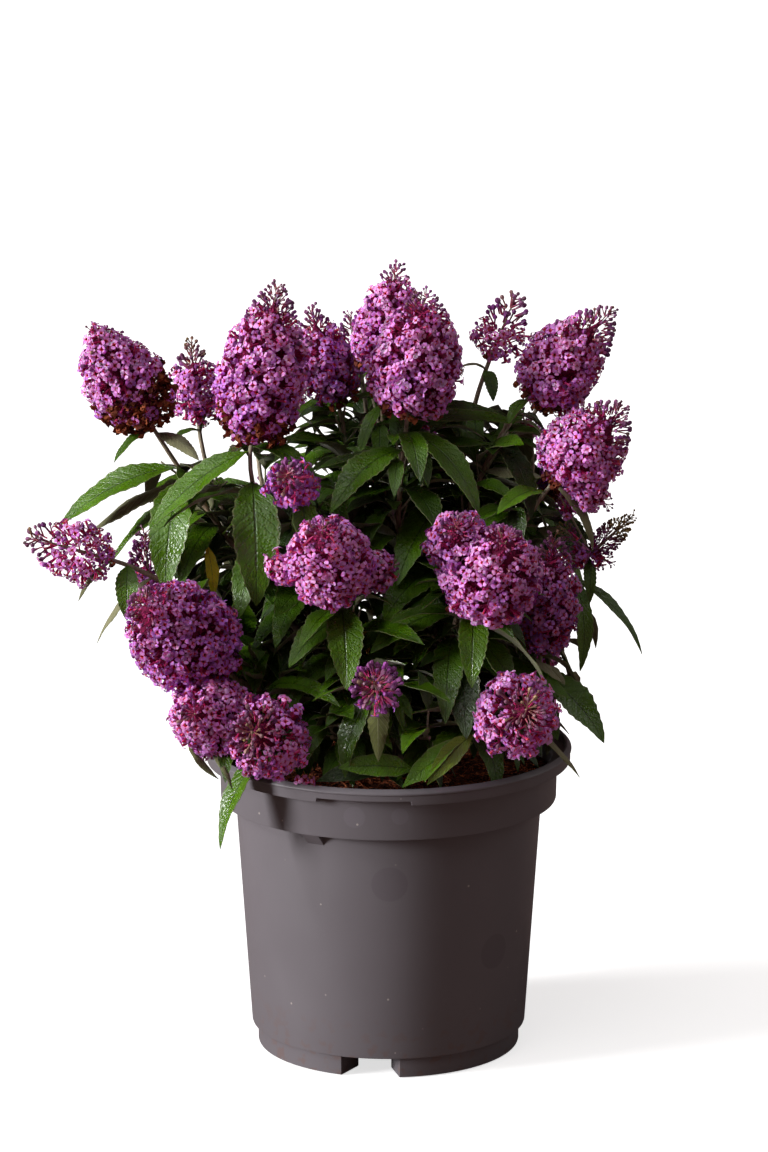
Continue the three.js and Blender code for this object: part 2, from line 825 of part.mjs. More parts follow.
/** The leaves that the rule sets on a shoot: crossed pairs from foot to tip, each with its tries. */
function ruleLeaves(line, shoot, next) {
  const leaves = [];
  const between = (low, high) => lerp(low, high, next());
  const firstTurn = between(0, 360);
  for (let pair = 0; pair < shoot.pairs; pair++) {
    const step = Math.min((pair + between(0, 0.4)) / (shoot.pairs - 0.6), 1);
    const share = lerp(...LEAF_SHARES, step);
    const along = line.getTangentAt(share);
    const [u, v] = across(along);
    for (const hand of [0, 180]) {
      const tries = Array.from({ length: LEAF_TRIES }, (_, attempt) => {
        const stray = LEAF_STRAY * (1 + LEAF_TRY_STRAY * attempt);
        const turn = radians(firstTurn + 90 * pair + hand + between(-stray, stray));
        const out = u.clone().multiplyScalar(Math.cos(turn)).addScaledVector(v, Math.sin(turn));
        const spread = radians(between(...LEAF_ROOT_SPREADS));
        const aim = along
          .clone()
          .multiplyScalar(Math.cos(spread))
          .addScaledVector(out, Math.sin(spread));
        const full = lerp(LEAF_LONGEST, LEAF_SHORTEST, share);
        const length = full * between(...LEAF_LENGTHS) * (1 - LEAF_TRY_SHORTER * attempt);
        return {
          share,
          bearing: degrees(Math.atan2(aim.x, -aim.y)),
          rise: degrees(Math.asin(aim.z)),
          length,
          width: LEAF_SLIMNESS * length * between(...LEAF_WIDTHS),
          droop: between(...LEAF_DROOPS),
          roll: between(-LEAF_ROLL, LEAF_ROLL),
        };
      });
      leaves.push(tries);
    }
  }
  return leaves;
}

/** Whether a leaf keeps to the crown: off the rim, in its reach and out of the sky gaps. */
function keepsToCrown(root, leaf) {
  for (const share of [0.25, 0.5, 0.75, 1]) {
    const { point } = leafFrame(root, leaf, share);
    const reach = Math.hypot(point.x, point.y);
    const level = reach > COLLAR_RADIUS - WALL ? RIM_HEIGHT : SOIL_CROWN;
    if (point.z < level + LEAF_HEADROOM) return false;
    if (reach > crownReach(point.z, point.x < 0)) return false;
    const seen = point.z + SKY_DROP * point.y;
    for (const gap of SKY_GAPS) {
      const off = Math.hypot((point.x - gap.x) / gap.half[0], (seen - gap.z) / gap.half[1]);
      if (off < 1) return false;
    }
  }
  return true;
}

/** How far out ordinary leaves reach at a height. */
function crownReach(height, onLeft) {
  const spread = smoothstep(height, CROWN_FOOT_HEIGHT, CROWN_WAIST_HEIGHT);
  const close = smoothstep(height, CROWN_SHOULDER_HEIGHT, CROWN_TOP_HEIGHT);
  const widest = onLeft ? CROWN_LEFT_REACH : CROWN_RIGHT_REACH;
  return lerp(lerp(CROWN_FOOT_REACH, widest, spread), widest - CROWN_TAPER, close);
}

// ---- Assembly ----

/** Whether the boxes of two solids come within a clearance of each other. */
function boxesMeet(a, b) {
  return [0, 1, 2].every((i) => a.min[i] - CLEARANCE < b.max[i] && b.min[i] - CLEARANCE < a.max[i]);
}

/** The pieces laid so far, with their owner, so that each new one keeps clear of others. */
class Space {
  constructor() {
    this.pieces = [];
  }

  add(owner, solid) {
    this.pieces.push({ owner, solid, box: solid.boundingBox() });
  }

  /** The least gap to a piece of any other owner, as far as a clearance. */
  gap(owner, solid) {
    const box = solid.boundingBox();
    return this.pieces
      .filter((piece) => piece.owner !== owner && boxesMeet(box, piece.box))
      .reduce((least, piece) => Math.min(least, solid.minGap(piece.solid, CLEARANCE)), CLEARANCE);
  }
}

/** A mass before its leaves: its stem, shoots and flower spikes. */
function growMass(mass, index) {
  const next = draws(SEED + 100 * index);
  const { start, fork } = massRoot(mass);
  const parts = [limb([start, fork], [STEM_RADIUS, STEM_RADIUS], LIMB_SIDES)];
  const lines = mass.shoots.map((shoot) => {
    const line = shootLine(mass, shoot);
    const steps = Math.max(2, Math.round(line.getLength() / SHOOT_STEP));
    const points = line.getPoints(steps);
    const radii = points.map((_, i) => lerp(STEM_RADIUS, SHOOT_TIP_RADIUS, i / steps));
    points[0].addScaledVector(line.getTangent(0), -1);
    if (shoot.spike) points[steps].addScaledVector(heading(...shoot.lean), SPIKE_SINK);
    parts.push(limb(points, radii, TWIG_SIDES));
    if (shoot.spike) parts.push(spikeSolid(shoot, next));
    return line;
  });
  return { mass, owner: "foliage_" + mass.name, parts, lines, next };
}

/** Sets a leaf on a shoot if it keeps clear of all that is laid; whether it did. */
function setLeaf(space, growth, line, leaf, sections, free = 0) {
  const root = line.getPointAt(leaf.share);
  const solid = leafSolid(root, leaf, sections);
  if (space.gap(growth.owner, solid) < CLEARANCE) return false;
  if (free && space.gap(null, leafSolid(root, leaf, sections, free)) < CLEARANCE) return false;
  growth.parts.push(solid);
  space.add(growth.owner, solid);
  return true;
}

function buildPlant() {
  const space = new Space();
  const named = new Map([
    ["pot", makePot()],
    ["substrate", makeSoil()],
    ["trunk", makeTrunk()],
  ]);
  for (const mass of MASSES) named.set("bough_" + mass.name, makeBough(mass));
  for (const [name, solid] of named) space.add(name, solid);

  const grown = MASSES.map(growMass);
  for (const { owner, parts } of grown) for (const part of parts) space.add(owner, part);

  // The prominent leaves go first, then the seeded rule fills in round them.
  for (const growth of grown)
    growth.mass.shoots.forEach((shoot, i) => {
      for (const [share, bearing, rise, length, width, droop, roll = 0] of shoot.leaves ?? []) {
        const leaf = { share, bearing, rise, length, width, droop, roll };
        setLeaf(space, growth, growth.lines[i], leaf, LEAF_FINE_SECTIONS);
      }
    });
  for (const growth of grown)
    growth.mass.shoots.forEach((shoot, i) => {
      const line = growth.lines[i];
      for (const tries of ruleLeaves(line, shoot, growth.next))
        tries.some(
          (leaf) =>
            keepsToCrown(line.getPointAt(leaf.share), leaf) &&
            setLeaf(space, growth, line, leaf, LEAF_SECTIONS, LEAF_FREE_FROM),
        );
    });
  for (const { owner, parts } of grown) named.set(owner, wholeBody(Manifold.union(parts)));
  return named;
}

// ---- Materials and the finished group ----

const FINISHES = {
  pot: { color: 0x5b5559, roughness: 0.6 },
  substrate: { color: 0x3a2015, roughness: 0.95 },
  trunk: { color: 0x6f6152, roughness: 0.85 },
  bough: { color: 0x77695a, roughness: 0.85 },
  foliage: { color: 0x3f5a2b, roughness: 0.5 },
};

function meshOf(name, solid) {
  const { vertProperties, triVerts, numProp, numVert } = solid.getMesh();
  const positions = new Float32Array(numVert * 3);
  for (let i = 0; i < numVert; i++)
    positions.set(vertProperties.subarray(i * numProp, i * numProp + 3), i * 3);
  const geometry = new THREE.BufferGeometry();
  geometry.setAttribute("position", new THREE.BufferAttribute(positions, 3));
  geometry.setIndex(new THREE.BufferAttribute(new Uint32Array(triVerts), 1));
  geometry.computeVertexNormals();
  const finish = FINISHES[name.split("_")[0]];
  const mesh = new THREE.Mesh(
    geometry,
    new THREE.MeshStandardMaterial({ ...finish, metalness: 0 }),
  );
  mesh.name = name;
  return mesh;
}

const plant = new THREE.Group();
plant.name = "potted_butterfly_bush";
for (const [name, solid] of buildPlant()) plant.add(meshOf(name, solid));

export default plant;
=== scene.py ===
import math
from types import SimpleNamespace

import bmesh
import bpy
import numpy as np
from bpy.props import FloatProperty, FloatVectorProperty, IntProperty, PointerProperty
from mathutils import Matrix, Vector, noise
from mathutils.kdtree import KDTree


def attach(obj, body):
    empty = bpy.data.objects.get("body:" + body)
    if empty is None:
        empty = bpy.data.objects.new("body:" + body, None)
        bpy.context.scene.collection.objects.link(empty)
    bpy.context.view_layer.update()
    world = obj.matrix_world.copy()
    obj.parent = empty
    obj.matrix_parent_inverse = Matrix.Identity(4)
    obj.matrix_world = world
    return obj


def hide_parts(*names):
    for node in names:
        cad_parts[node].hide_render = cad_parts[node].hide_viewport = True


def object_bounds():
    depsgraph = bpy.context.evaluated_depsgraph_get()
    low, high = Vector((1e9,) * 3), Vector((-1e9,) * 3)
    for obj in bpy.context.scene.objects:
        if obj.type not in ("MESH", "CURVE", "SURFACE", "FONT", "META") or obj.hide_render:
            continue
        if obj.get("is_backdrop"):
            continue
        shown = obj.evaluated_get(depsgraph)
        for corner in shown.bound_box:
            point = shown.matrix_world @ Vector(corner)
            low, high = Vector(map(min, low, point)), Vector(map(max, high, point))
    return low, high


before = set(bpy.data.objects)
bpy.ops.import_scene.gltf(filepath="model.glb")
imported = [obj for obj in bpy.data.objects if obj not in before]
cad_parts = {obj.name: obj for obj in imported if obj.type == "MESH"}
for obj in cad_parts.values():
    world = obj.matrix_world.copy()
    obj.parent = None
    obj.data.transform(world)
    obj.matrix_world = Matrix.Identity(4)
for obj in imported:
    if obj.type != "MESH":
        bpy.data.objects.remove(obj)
cad_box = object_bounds()

bl_info = {
    "name": "Potted butterfly bush",
    "version": (1, 0, 0),
    "blender": (4, 5, 0),
    "location": "View3D > Sidebar > Bush",
    "description": "Grows a butterfly bush in its nursery pot round the packed solids",
    "category": "Object",
}

MM = 0.001
SEED = 71
FILLER_SEED = 4000
BLOOM_SEED = 9000
SOIL_SEED = 300
RAG_SEED = 5
GOLDEN_TURN = 137.508
MOST_TRIANGLES = 190000  # in one piece

LEAF_FIELDS = ("share", "bearing", "rise", "length", "width", "droop", "roll")


def mass(name, bough, *shoots):
    """A mass of foliage, and the bearing, rise and length of the bough that bears it."""
    return {"name": name, "bough": bough, "shoots": shoots}


def shoot(at, lean, spike=None, bloom=None, pairs=0, *leaves):
    """A shoot with its flower spike and its leaves.

    at: bearing, reach and height of its tip, where the spike begins
    lean: bearing and rise of the spike; spike: its length and width; bloom: its look, from LOOKS
    pairs: how many pairs of leaves the seeded rule sets on it
    leaves: those set one by one, each with the LEAF_FIELDS; a roll left out is 0
    """
    return {"at": at, "lean": lean, "spike": spike, "bloom": bloom, "pairs": pairs, "leaves": leaves}


MASSES = [
    mass(
        "left_top",
        (-102, 47, 84),
        shoot(
            (-90, 145, 391), (-60, 58), (74, 47), "spent", 5,
            (0.78, -90, 0, 84, 21, 45, -30), (0.7, -100, -5, 74, 15, 40, -25),
            (0.62, -108, -5, 80, 17, 55, -25), (0.72, -15, 5, 85, 26, 100),
            (0.5, -40, 0, 50, 22, 60, -10), (0.97, -55, 5, 35, 9, 60),
            (0.95, 50, 10, 38, 10, 50, 30),
        ),
        shoot(
            (-115, 130, 380), (-39, 83), (53, 28), "slender", 4,
            (0.97, -45, 25, 24, 7, 60), (0.95, 110, 85, 33, 7, 40),
        ),
    ),
    mass(
        "top_left",
        (-98, 68, 76),
        shoot(
            (-70, 88, 387), (47, 77), (99, 52), "full_spent", 5,
            (0.95, -75, -15, 79, 19, 35, -30), (0.8, 5, 0, 89, 28, 105),
            (0.97, 65, 15, 50, 13, 60, 20), (0.2, -25, 5, 61, 18, 60),
        ),
        shoot(
            (-142, 51, 396), (-73, 74), (61, 37), "shaded", 5,
            (0.78, -50, 30, 55, 14, 30, -20),
        ),
        shoot(
            (-164, 62, 411), (-90, 79), (38, 22), "budding", 4,
            (0.98, -20, 20, 24, 8, 70),
        ),
        shoot((-55, 70, 358), (-4, 24), (49, 30), "ragged", 3),
    ),
    mass(
        "top_centre",
        (60, 87, 88),
        shoot(
            (-174, 20, 419), (35, 80), (67, 43), "full", 5,
            (0.85, -30, -10, 44, 9, 60),
        ),
        shoot(
            (31, 23, 402), (34, 76), (77, 55), "full", 5,
            (0.78, -45, 10, 71, 22, 60, -15), (0.88, 55, 5, 74, 18, 75, 20),
            (0.93, 105, 20, 75, 14, 40, 25), (0.98, 90, 30, 59, 10, 50, 20),
        ),
    ),
    mass(
        "top_right",
        (104, 64, 84),
        shoot(
            (116, 69, 425), (72, 68), (42, 34), "starry", 4,
            (0.4, -30, 20, 89, 25, 80, -10), (0.95, 15, 10, 26, 9, 90),
        ),
        shoot(
            (90, 86, 408), (78, 48), (73, 45), "pointed", 5,
            (0.6, 65, 20, 40, 12, 35, 25), (0.98, -30, 10, 27, 9, 60),
        ),
        shoot((115, 96, 373), (-90, 74), (19, 16), "budding", 3),
    ),
    mass(
        "right",
        (86, 45, 72),
        shoot(
            (79, 103, 360), (76, 49), (62, 50), "pointed", 5,
            (0.92, -40, 25, 49, 15, 55, -10), (0.97, 75, -10, 51, 10, 80, 20),
        ),
        shoot(
            (90, 124, 310), (68, 44), (37, 18), "green", 4,
            (0.8, 25, -20, 68, 12, 95), (0.75, 90, -10, 72, 10, 60, 25), (0.97, 5, -15, 32, 8, 90),
        ),
    ),
    mass(
        "left",
        (-90, 30, 76),
        shoot(
            (-83, 171, 311), (-67, 20), (55, 37), "loose", 3,
            (0.9, 0, -5, 39, 14, 90), (0.75, -105, -20, 59, 13, 50, -20),
            (0.98, -65, -10, 34, 8, 60), (0.2, 0, 60, 45, 16, 20),
        ),
        shoot((-94, 147, 284), (-31, 81), (39, 24), "budding", 6),
    ),
    mass(
        "left_low",
        (-54, 15, 50),
        shoot(
            (-62, 119, 255), (-35, 36), (91, 62), "aging", 3,
            (0.5, 40, 40, 80, 13, 60, 25),
        ),
        shoot(
            (-55, 122, 222), (-16, 19), (61, 47), "full", 2,
            (0.9, 0, 20, 58, 13, 80), (0.97, 3, 15, 46, 14, 90),
        ),
        shoot(
            (-40, 105, 213), (-14, 20), (61, 50), "facing", 2,
            (0.8, -57, -11, 80, 18, 73),
        ),
    ),
    mass(
        "front",
        (-14, 42, 50),
        shoot(
            (-25, 77, 307), (-8, 42), (68, 50), "full", 5,
            (0.72, 5, 10, 63, 22, 95), (0.6, -40, 15, 58, 19, 60, -10),
        ),
        shoot(
            (-4, 90, 246), (-3, 21), (48, 32), "starry_small", 4,
            (0.85, 0, 5, 51, 13, 90),
        ),
    ),
    mass(
        "right_front",
        (50, 45, 54),
        shoot(
            (38, 88, 297), (20, 46), (68, 60), "full", 4,
            (0.55, 65, -5, 52, 20, 70, 15),
        ),
        shoot(
            (32, 83, 322), (-8, 40), (46, 40), "shaded", 4,
            (0.3, -5, 10, 72, 19, 80), (0.5, -55, 15, 69, 21, 50, -20),
            (0.25, 45, 10, 47, 15, 50, 10),
        ),
        shoot(
            (72, 98, 255), (35, 81), (75, 38), "shaded", 3,
            (0.8, 65, -10, 65, 23, 50, 25), (0.9, 45, 5, 25, 12, 50),
        ),
    ),
    mass(
        "right_low",
        (42, 12, 46),
        shoot(
            (42, 108, 226), (10, 21), (60, 50), "facing", 3,
            (0.9, 75, 0, 58, 11, 60), (0.45, -30, 20, 74, 18, 60), (0.2, -35, 15, 72, 15, 50, -15),
        ),
        shoot((80, 92, 222), (85, 15), None, None, 6),
    ),
    mass(
        "front_low",
        (-8, 12, 40),
        shoot(
            (-24, 84, 214), (-28, 12), None, None, 2,
            (0.6, 15, 20, 39, 10, 60), (0.8, 55, 2, 55, 17, 50, 20), (0.35, -29, 3, 49, 16, 40),
        ),
        shoot((16, 88, 216), (20, 15), None, None, 3),
    ),
    mass(
        "back_left",
        (-134, 40, 62),
        shoot((-139, 126, 361), (-176, 67), (58, 42), "pointed", 6),
        shoot((-152, 120, 286), (-150, 38), (60, 48), "full_spent", 5),
        shoot((-120, 121, 231), (-127, 29), (50, 40), "full", 4),
    ),
    mass(
        "back_centre",
        (180, 54, 66),
        shoot((175, 95, 357), (176, 70), (62, 46), "pointed", 6),
        shoot((152, 112, 286), (150, 46), (54, 42), "full_spent", 6),
    ),
    mass(
        "back_right",
        (133, 40, 62),
        shoot((129, 120, 386), (122, 47), (55, 42), "pointed", 7),
        shoot((122, 122, 329), (122, 46), (54, 42), "aging", 6),
    ),
    mass(
        "back_low",
        (-176, 16, 48),
        shoot((-160, 112, 234), (-160, 24), (58, 46), "aging", 4),
        shoot((168, 116, 248), (165, 30), (60, 46), "full", 4),
        shoot((132, 104, 222), (130, 18), (46, 34), "pointed", 4),
    ),
]

# Clear sky between the upper shoots, seen from in front and a little above, where a place looks
# lower by SKY_DROP for each unit that it stands nearer. Each gap: x and z of its middle, half
# its width and half its height.
SKY_DROP = 0.2
SKY_GAPS = [(-122, 384, 20, 14), (-88, 360, 22, 8), (52, 414, 18, 9), (112, 352, 14, 16)]

# Small clusters beside the spikes: the mass and shoot whose tip they leave, and their own stalk.
SIDE_SPIKES = [
    ("front", 0, shoot((-18, 59, 309), (60, 20), (27, 27), "side")),
    ("front", 0, shoot((-39, 88, 310), (-70, 40), (25, 18), "side")),
    ("right", 0, shoot((78, 115, 357), (95, -30), (25, 22), "side")),
    ("right", 1, shoot((87, 111, 335), (-60, 60), (16, 13), "budding")),
    ("right", 1, shoot((86, 114, 321), (-70, 40), (15, 12), "green")),
    ("right", 1, shoot((88, 122, 311), (-80, -10), (24, 15), "budding")),
    ("right", 1, shoot((89, 125, 309), (70, -15), (14, 13), "budding")),
]

# Leaves set one by one that hang with their felted side towards the front, by mass and shoot.
TURNED = {
    ("left_top", 0): (1, 6),
    ("top_left", 2): (0,),
    ("top_right", 1): (0,),
    ("right", 0): (1,),
    ("left", 0): (1, 2, 3),
    ("right_front", 2): (1,),
    ("right_low", 0): (0,),
}
# What is set otherwise on two leaves, by mass, shoot and leaf.
OPENED = {
    ("left_low", 1, 2): {"roll": 12, "width": 23},
    ("front", 1, 0): {"roll": 180, "tone": 0.05},
}

# Finer leaves near the front: place of the root, then bearing, rise, length, width, droop, roll
# and tone, where 1.3 has turned yellow.
FINER_LEAVES = [
    ((-111, -15, 319), 31, -52, 34, 9, 40, 0, 1.3),
    ((-14, -20, 272), 9, -56, 22, 5, 20, 0, 1.3),
    ((-120, -97, 221), 50, -74, 35, 7, -52, 180, 0.2),
    ((16, -98, 199), -78, 20, 48, 15, 25, -55, 0.95),
    ((4, -90, 198), -83, 10, 49, 13, 30, -55, 0.1),
    ((-110, -85, 211), 29, 7, 42, 5, 60, 180, 0.3),
    ((88, -35, 253), 59, -22, 24, 9, 20, 180, 1.0),
    ((51, -85, 218), -46, -14, 46, 13, 30, -50, 1.05),
    ((51, -88, 214), -61, -6, 54, 16, 30, -50, 0.85),
    ((60, 20, 419), -52, 63, 27, 5, 90, 180, 0.6),
]

# cover: how closely florets stand; buds_from: share of the spike where closed buds begin
# spent_to: share below which florets have withered; glow: how bright the open florets are, low
# where the whole spike stands in shade, which is painted shade; age: bluer as it rises
# flare: how far florets stand out or in; hue: how green the buds turn towards the spike's tip
# core: how much of the spike's middle its crowded tubes fill
LOOK_KEYS = ("cover", "buds_from", "spent_to", "glow", "age", "flare", "hue", "core")
LOOKS = {
    "full": (1.0, 0.86, 0.08, 0.62, 0.35, 2.0, 0.1, 0.95),
    "full_spent": (1.0, 0.8, 0.2, 0.6, 0.45, 1.8, 0.15, 0.95),
    "spent": (1.0, 0.98, 0.42, 0.58, 0.45, 1.8, 0.2, 0.85),
    "pointed": (0.95, 0.72, 0.04, 0.58, 0.3, 2.3, 0.15, 0.85),
    "slender": (0.8, 0.72, 0.04, 0.5, 0.4, 3.2, 0.45, 0.5),
    # A spike that stands in shade: its low glow paints its florets darker, as painted shade.
    "shaded": (0.95, 0.8, 0.05, 0.08, 0.6, 2.2, 0.15, 0.85),
    "loose": (0.46, 0.7, 0.03, 0.55, 0.3, 4.0, 0.25, 0.0),
    "facing": (0.76, 0.75, 0.03, 0.55, 0.4, 3.6, 0.3, 0.4),
    "starry": (0.45, 0.55, 0.0, 0.45, 0.25, 4.5, 0.15, 0.0),
    "starry_small": (0.4, 0.2, 0.0, 0.45, 0.6, 5.0, 0.3, 0.0),
    "ragged": (0.6, 0.64, 0.0, 0.4, 0.8, 4.5, 0.25, 0.0),
    "aging": (0.95, 0.88, 0.06, 0.42, 0.65, 2.0, 0.15, 0.95),
    "budding": (1.2, 0.3, 0.0, 0.3, 0.4, 3.0, 0.15, 0.1),
    "green": (2.2, 0.0, 0.0, 0.3, 0.2, 2.2, 4.0, 0.3),
    "side": (0.9, 0.9, 0.0, 0.5, 0.3, 2.0, 0.1, 0.5),
}
BLOOMS = {name: dict(zip(LOOK_KEYS, values)) for name, values in LOOKS.items()}


# ---- Properties ----


def paint(red, green, blue):
    """A colour given in screen values from 0 to 255, as the linear one that shaders take."""
    return tuple(
        value / 12.92 if value < 0.04045 else ((value + 0.055) / 1.055) ** 2.4
        for value in (red / 255, green / 255, blue / 255)
    )


def size(name, default, description):
    return FloatProperty(
        name=name, description=description, default=default, unit="LENGTH", precision=4
    )


def number(name, default, description):
    return FloatProperty(name=name, description=description, default=default)


def count(name, default, description, least=0):
    return IntProperty(name=name, description=description, default=default, min=least)


def angle(name, default, description):
    return FloatProperty(
        name=name, description=description, default=math.radians(default), subtype="ANGLE"
    )


def ratio(name, default, description):
    return FloatProperty(
        name=name, description=description, default=default, min=0, max=1, subtype="FACTOR"
    )


def tint(name, default, description):
    return FloatVectorProperty(
        name=name,
        description=description,
        default=paint(*default),
        subtype="COLOR",
        size=3,
        min=0,
        max=1,
    )


class BushPot(bpy.types.PropertyGroup):
    rim_radius: size("Rim radius", 0.113, "Outside radius of the lip")
    rim_height: size("Rim height", 0.191, "Height of the rim above the ground")
    rim_bevel: size("Rim bevel", 0.0025, "Slope along the rim's outer edge")
    rim_wall: size("Rim wall", 0.004, "Thickness of the rim")
    lip_underside: size("Lip underside", 0.181, "Height of the lip's lower edge")
    lip_relief: size("Lip relief", 0.0025, "How much shorter the lip is where it is relieved")
    lip_shoulder: size("Lip shoulder", 0.1855, "Height at which the inside widens to the rim")
    collar_radius: size("Collar radius", 0.1037, "Outside radius of the collar")
    collar_underside: size("Collar underside", 0.157, "Height of the collar's lower edge")
    body_top_radius: size("Body top radius", 0.0946, "Radius of the wall under the collar")
    body_foot_radius: size("Body foot radius", 0.085, "Radius of the wall over the foot")
    foot_radius: size("Foot radius", 0.0813, "Outside radius of the foot")
    foot_inner_radius: size("Foot inner radius", 0.061, "Inside radius of the foot")
    foot_height: size("Foot height", 0.0126, "Height of the foot")
    pad_radius: size("Pad radius", 0.024, "Flat pad under the middle of the floor")
    wall: size("Wall", 0.002, "Thickness of the wall")
    draft: size("Draft", 0.0005, "How far a moulded ledge leans")
    gusset_drop: size("Gusset drop", 0.008, "How far a gusset runs down the wall")
    notch_outer_width: size("Notch outer width", 0.038, "Width of a drain notch outside")
    notch_inner_width: size("Notch inner width", 0.021, "Width of a drain notch inside")
    notch_bearing: angle("Notch bearing", -8, "Bearing of the first drain notch")
    relief_from: angle("Relief from", -22.7, "Bearing where the first lip relief begins")
    relief_to: angle("Relief to", 7, "Bearing where the first lip relief ends")
    gusset_from: angle("Gusset from", -31.5, "Bearing where the first gusset begins")
    gusset_to: angle("Gusset to", -24.5, "Bearing where the first gusset ends")
    groove: size("Groove", 0.0007, "Depth of the groove under the rim's bead")
    columns: count("Columns", 360, "Facets round the pot", 48)
    plastic: tint("Plastic", (110, 105, 110), "Colour of the pot")
    plastic_mark: tint("Moulding mark", (98, 92, 98), "Colour of the darker moulding discs")
    plastic_shine: tint("Moulding shine", (120, 115, 122), "Colour of the paler moulding discs")


class BushSoil(bpy.types.PropertyGroup):
    edge_height: size("Edge height", 0.171, "Height of the substrate at the wall")
    crown_height: size("Crown height", 0.1745, "Height of the substrate round the trunk")
    lump: size("Lump", 0.0024, "Height of the lumps in the surface")
    fibres: count("Fibres", 1300, "Number of coir fibres")
    crumbs: count("Crumbs", 1200, "Number of crumbs")
    coir: tint("Coir", (154, 80, 48), "Colour of the coir")
    coir_dark: tint("Damp coir", (84, 42, 26), "Colour of the damp coir between")
    fibre: tint("Fibre", (196, 120, 78), "Colour of the loose fibres")


class BushWood(bpy.types.PropertyGroup):
    fork_height: size("Fork height", 0.197, "Height at which the boughs part")
    flare_radius: size("Flare radius", 0.015, "Radius of the root flare")
    foot_radius: size("Foot radius", 0.010, "Radius of the trunk above its flare")
    top_radius: size("Top radius", 0.0075, "Radius of the trunk at the fork")
    flare_height: size("Flare height", 0.010, "Height of the root flare")
    bough_radius: size("Bough radius", 0.0033, "Radius of a bough at the fork")
    bough_tip_radius: size("Bough tip radius", 0.0023, "Radius of a bough at its tip")
    stem_radius: size("Stem radius", 0.0022, "Radius of a shoot at its foot")
    stem_tip_radius: size("Stem tip radius", 0.0013, "Radius of a shoot at its tip")
    relief: size("Bark relief", 0.0004, "Depth of the furrows in the bark")
    bark: tint("Bark", (150, 134, 116), "Colour of the bark's ridges")
    furrow: tint("Furrow", (74, 58, 48), "Colour of the bark's furrows")
    young: tint("Young stem", (150, 120, 98), "Colour of the young shoots")
    felted: tint("Felted stem", (176, 170, 146), "Colour of the felt on the shoots' tips")


class BushLeaves(bpy.types.PropertyGroup):
    fold: ratio("Fold", 0.2, "How far each half of a leaf rises from the midrib")
    wave: ratio("Wave", 0.09, "How far a leaf's margin ripples")
    tooth: ratio("Tooth", 0.05, "How far the teeth stand out of the margin")
    keel: size("Keel", 0.0009, "Thickness of a leaf at its midrib")
    margin: size("Margin", 0.0003, "Thickness of a leaf at its margin")
    side_twigs: count("Side twigs", 1, "Side twigs tried in each leaf axil")
    dark: tint("Dark green", (40, 68, 3), "Colour of an old leaf")
    fresh: tint("Fresh green", (84, 125, 6), "Colour of a young leaf")
    # Dark green on the sunken midrib and side veins: painted shade in the grooves.
    vein: tint("Vein", (26, 46, 6), "Colour of the veins on the upper side")
    yellow: tint("Turned", (248, 220, 56), "Colour of a leaf that has turned")
    felt: tint("Felt", (150, 148, 116), "Colour of the felted underside")
    felt_dark: tint("Olive felt", (92, 96, 52), "Colour of the underside of an old leaf")


class BushBlooms(bpy.types.PropertyGroup):
    floret_width: size("Floret width", 0.0065, "Width across an open floret")
    bud_length: size("Bud length", 0.0078, "Length of a closed floret")
    floret_area: number("Floret area", 22, "Square millimetres for each floret")
    cyme_area: number("Cyme area", 150, "Square millimetres for each cluster")
    cyme_bulge: size("Cyme bulge", 0.003, "How far a cluster's middle stands out of its edge")
    core_depth: size("Core depth", 0.004, "How deep the core lies under the florets")
    pink: tint("Pink", (255, 160, 228), "Colour of a fresh floret")
    lilac: tint("Lilac", (206, 126, 238), "Colour of an older floret")
    deep: tint("Deep magenta", (180, 40, 104), "Colour of a floret in the bud")
    # Dark colour of the tubes inside a spike: their own colour together with painted shade.
    core: tint("Core", (108, 26, 62), "Colour of the crowded tubes inside a spike")
    throat: tint("Throat", (228, 64, 120), "Colour of the throat")
    eye: tint("Eye", (244, 112, 72), "Colour deep in the throat")
    bud: tint("Bud", (142, 66, 144), "Colour of the closed buds")
    bud_green: tint("Green bud", (150, 126, 76), "Colour of the youngest buds")
    withered: tint("Withered", (160, 84, 50), "Colour of a withered floret")
    withered_dark: tint("Withered dark", (70, 28, 26), "Colour of an old withered floret")


class BushStage(bpy.types.PropertyGroup):
    camera_distance: size("Camera distance", 3.0, "Distance in front of the pot")
    camera_height: size("Camera height", 1.001, "Height of the camera")
    pitch: angle("Pitch", 13.23, "How far the camera looks down")
    yaw: angle("Yaw", 0.054, "How far the camera turns")
    lens: number("Lens", 157.13, "Focal length in millimetres")
    key: number("Key light", 3.95, "Strength of the key light")
    key_bearing: angle("Key bearing", -72, "Bearing that the key light comes from")
    key_rise: angle("Key rise", 13, "Height of the key light above the horizon")
    top: number("Top light", 0.9, "Strength of the light from above")
    glint: number("Glint", 0.38, "Strength of the small light")
    edge: number("Edge light", 0.34, "Strength of the light at the right")
    sky: ratio("Sky", 0.064, "Strength of the light from all round")
    warmth: tint("Warmth", (255, 212, 200), "Colour of the light from all round")
    floor: tint("Floor", (250, 250, 250), "Colour of the floor")
    floor_shade: tint("Floor's cast", (132, 112, 106), "Colour that the floor casts on the pot")
    floor_glow: ratio("Floor glow", 0.7, "Light that the floor gives of itself")


GROUPS = {
    "bush_pot": BushPot,
    "bush_soil": BushSoil,
    "bush_wood": BushWood,
    "bush_leaves": BushLeaves,
    "bush_blooms": BushBlooms,
    "bush_stage": BushStage,
}


# ---- Directions, places and lines, in millimetres ----


class Draws:
    """A seeded stream of numbers, the same one as the solids grow by."""

    def __init__(self, seed):
        self.state = seed

    def __call__(self, low=0, high=1):
        """The next number between low and high."""
        self.state = (self.state * 1664525 + 1013904223) % 4294967296
        return lerp(low, high, self.state / 4294967296)


def lerp(a, b, share):
    return a + (b - a) * share


def smoothstep(value, low, high):
    share = min(max((value - low) / (high - low), 0), 1)
    return share * share * (3 - 2 * share)


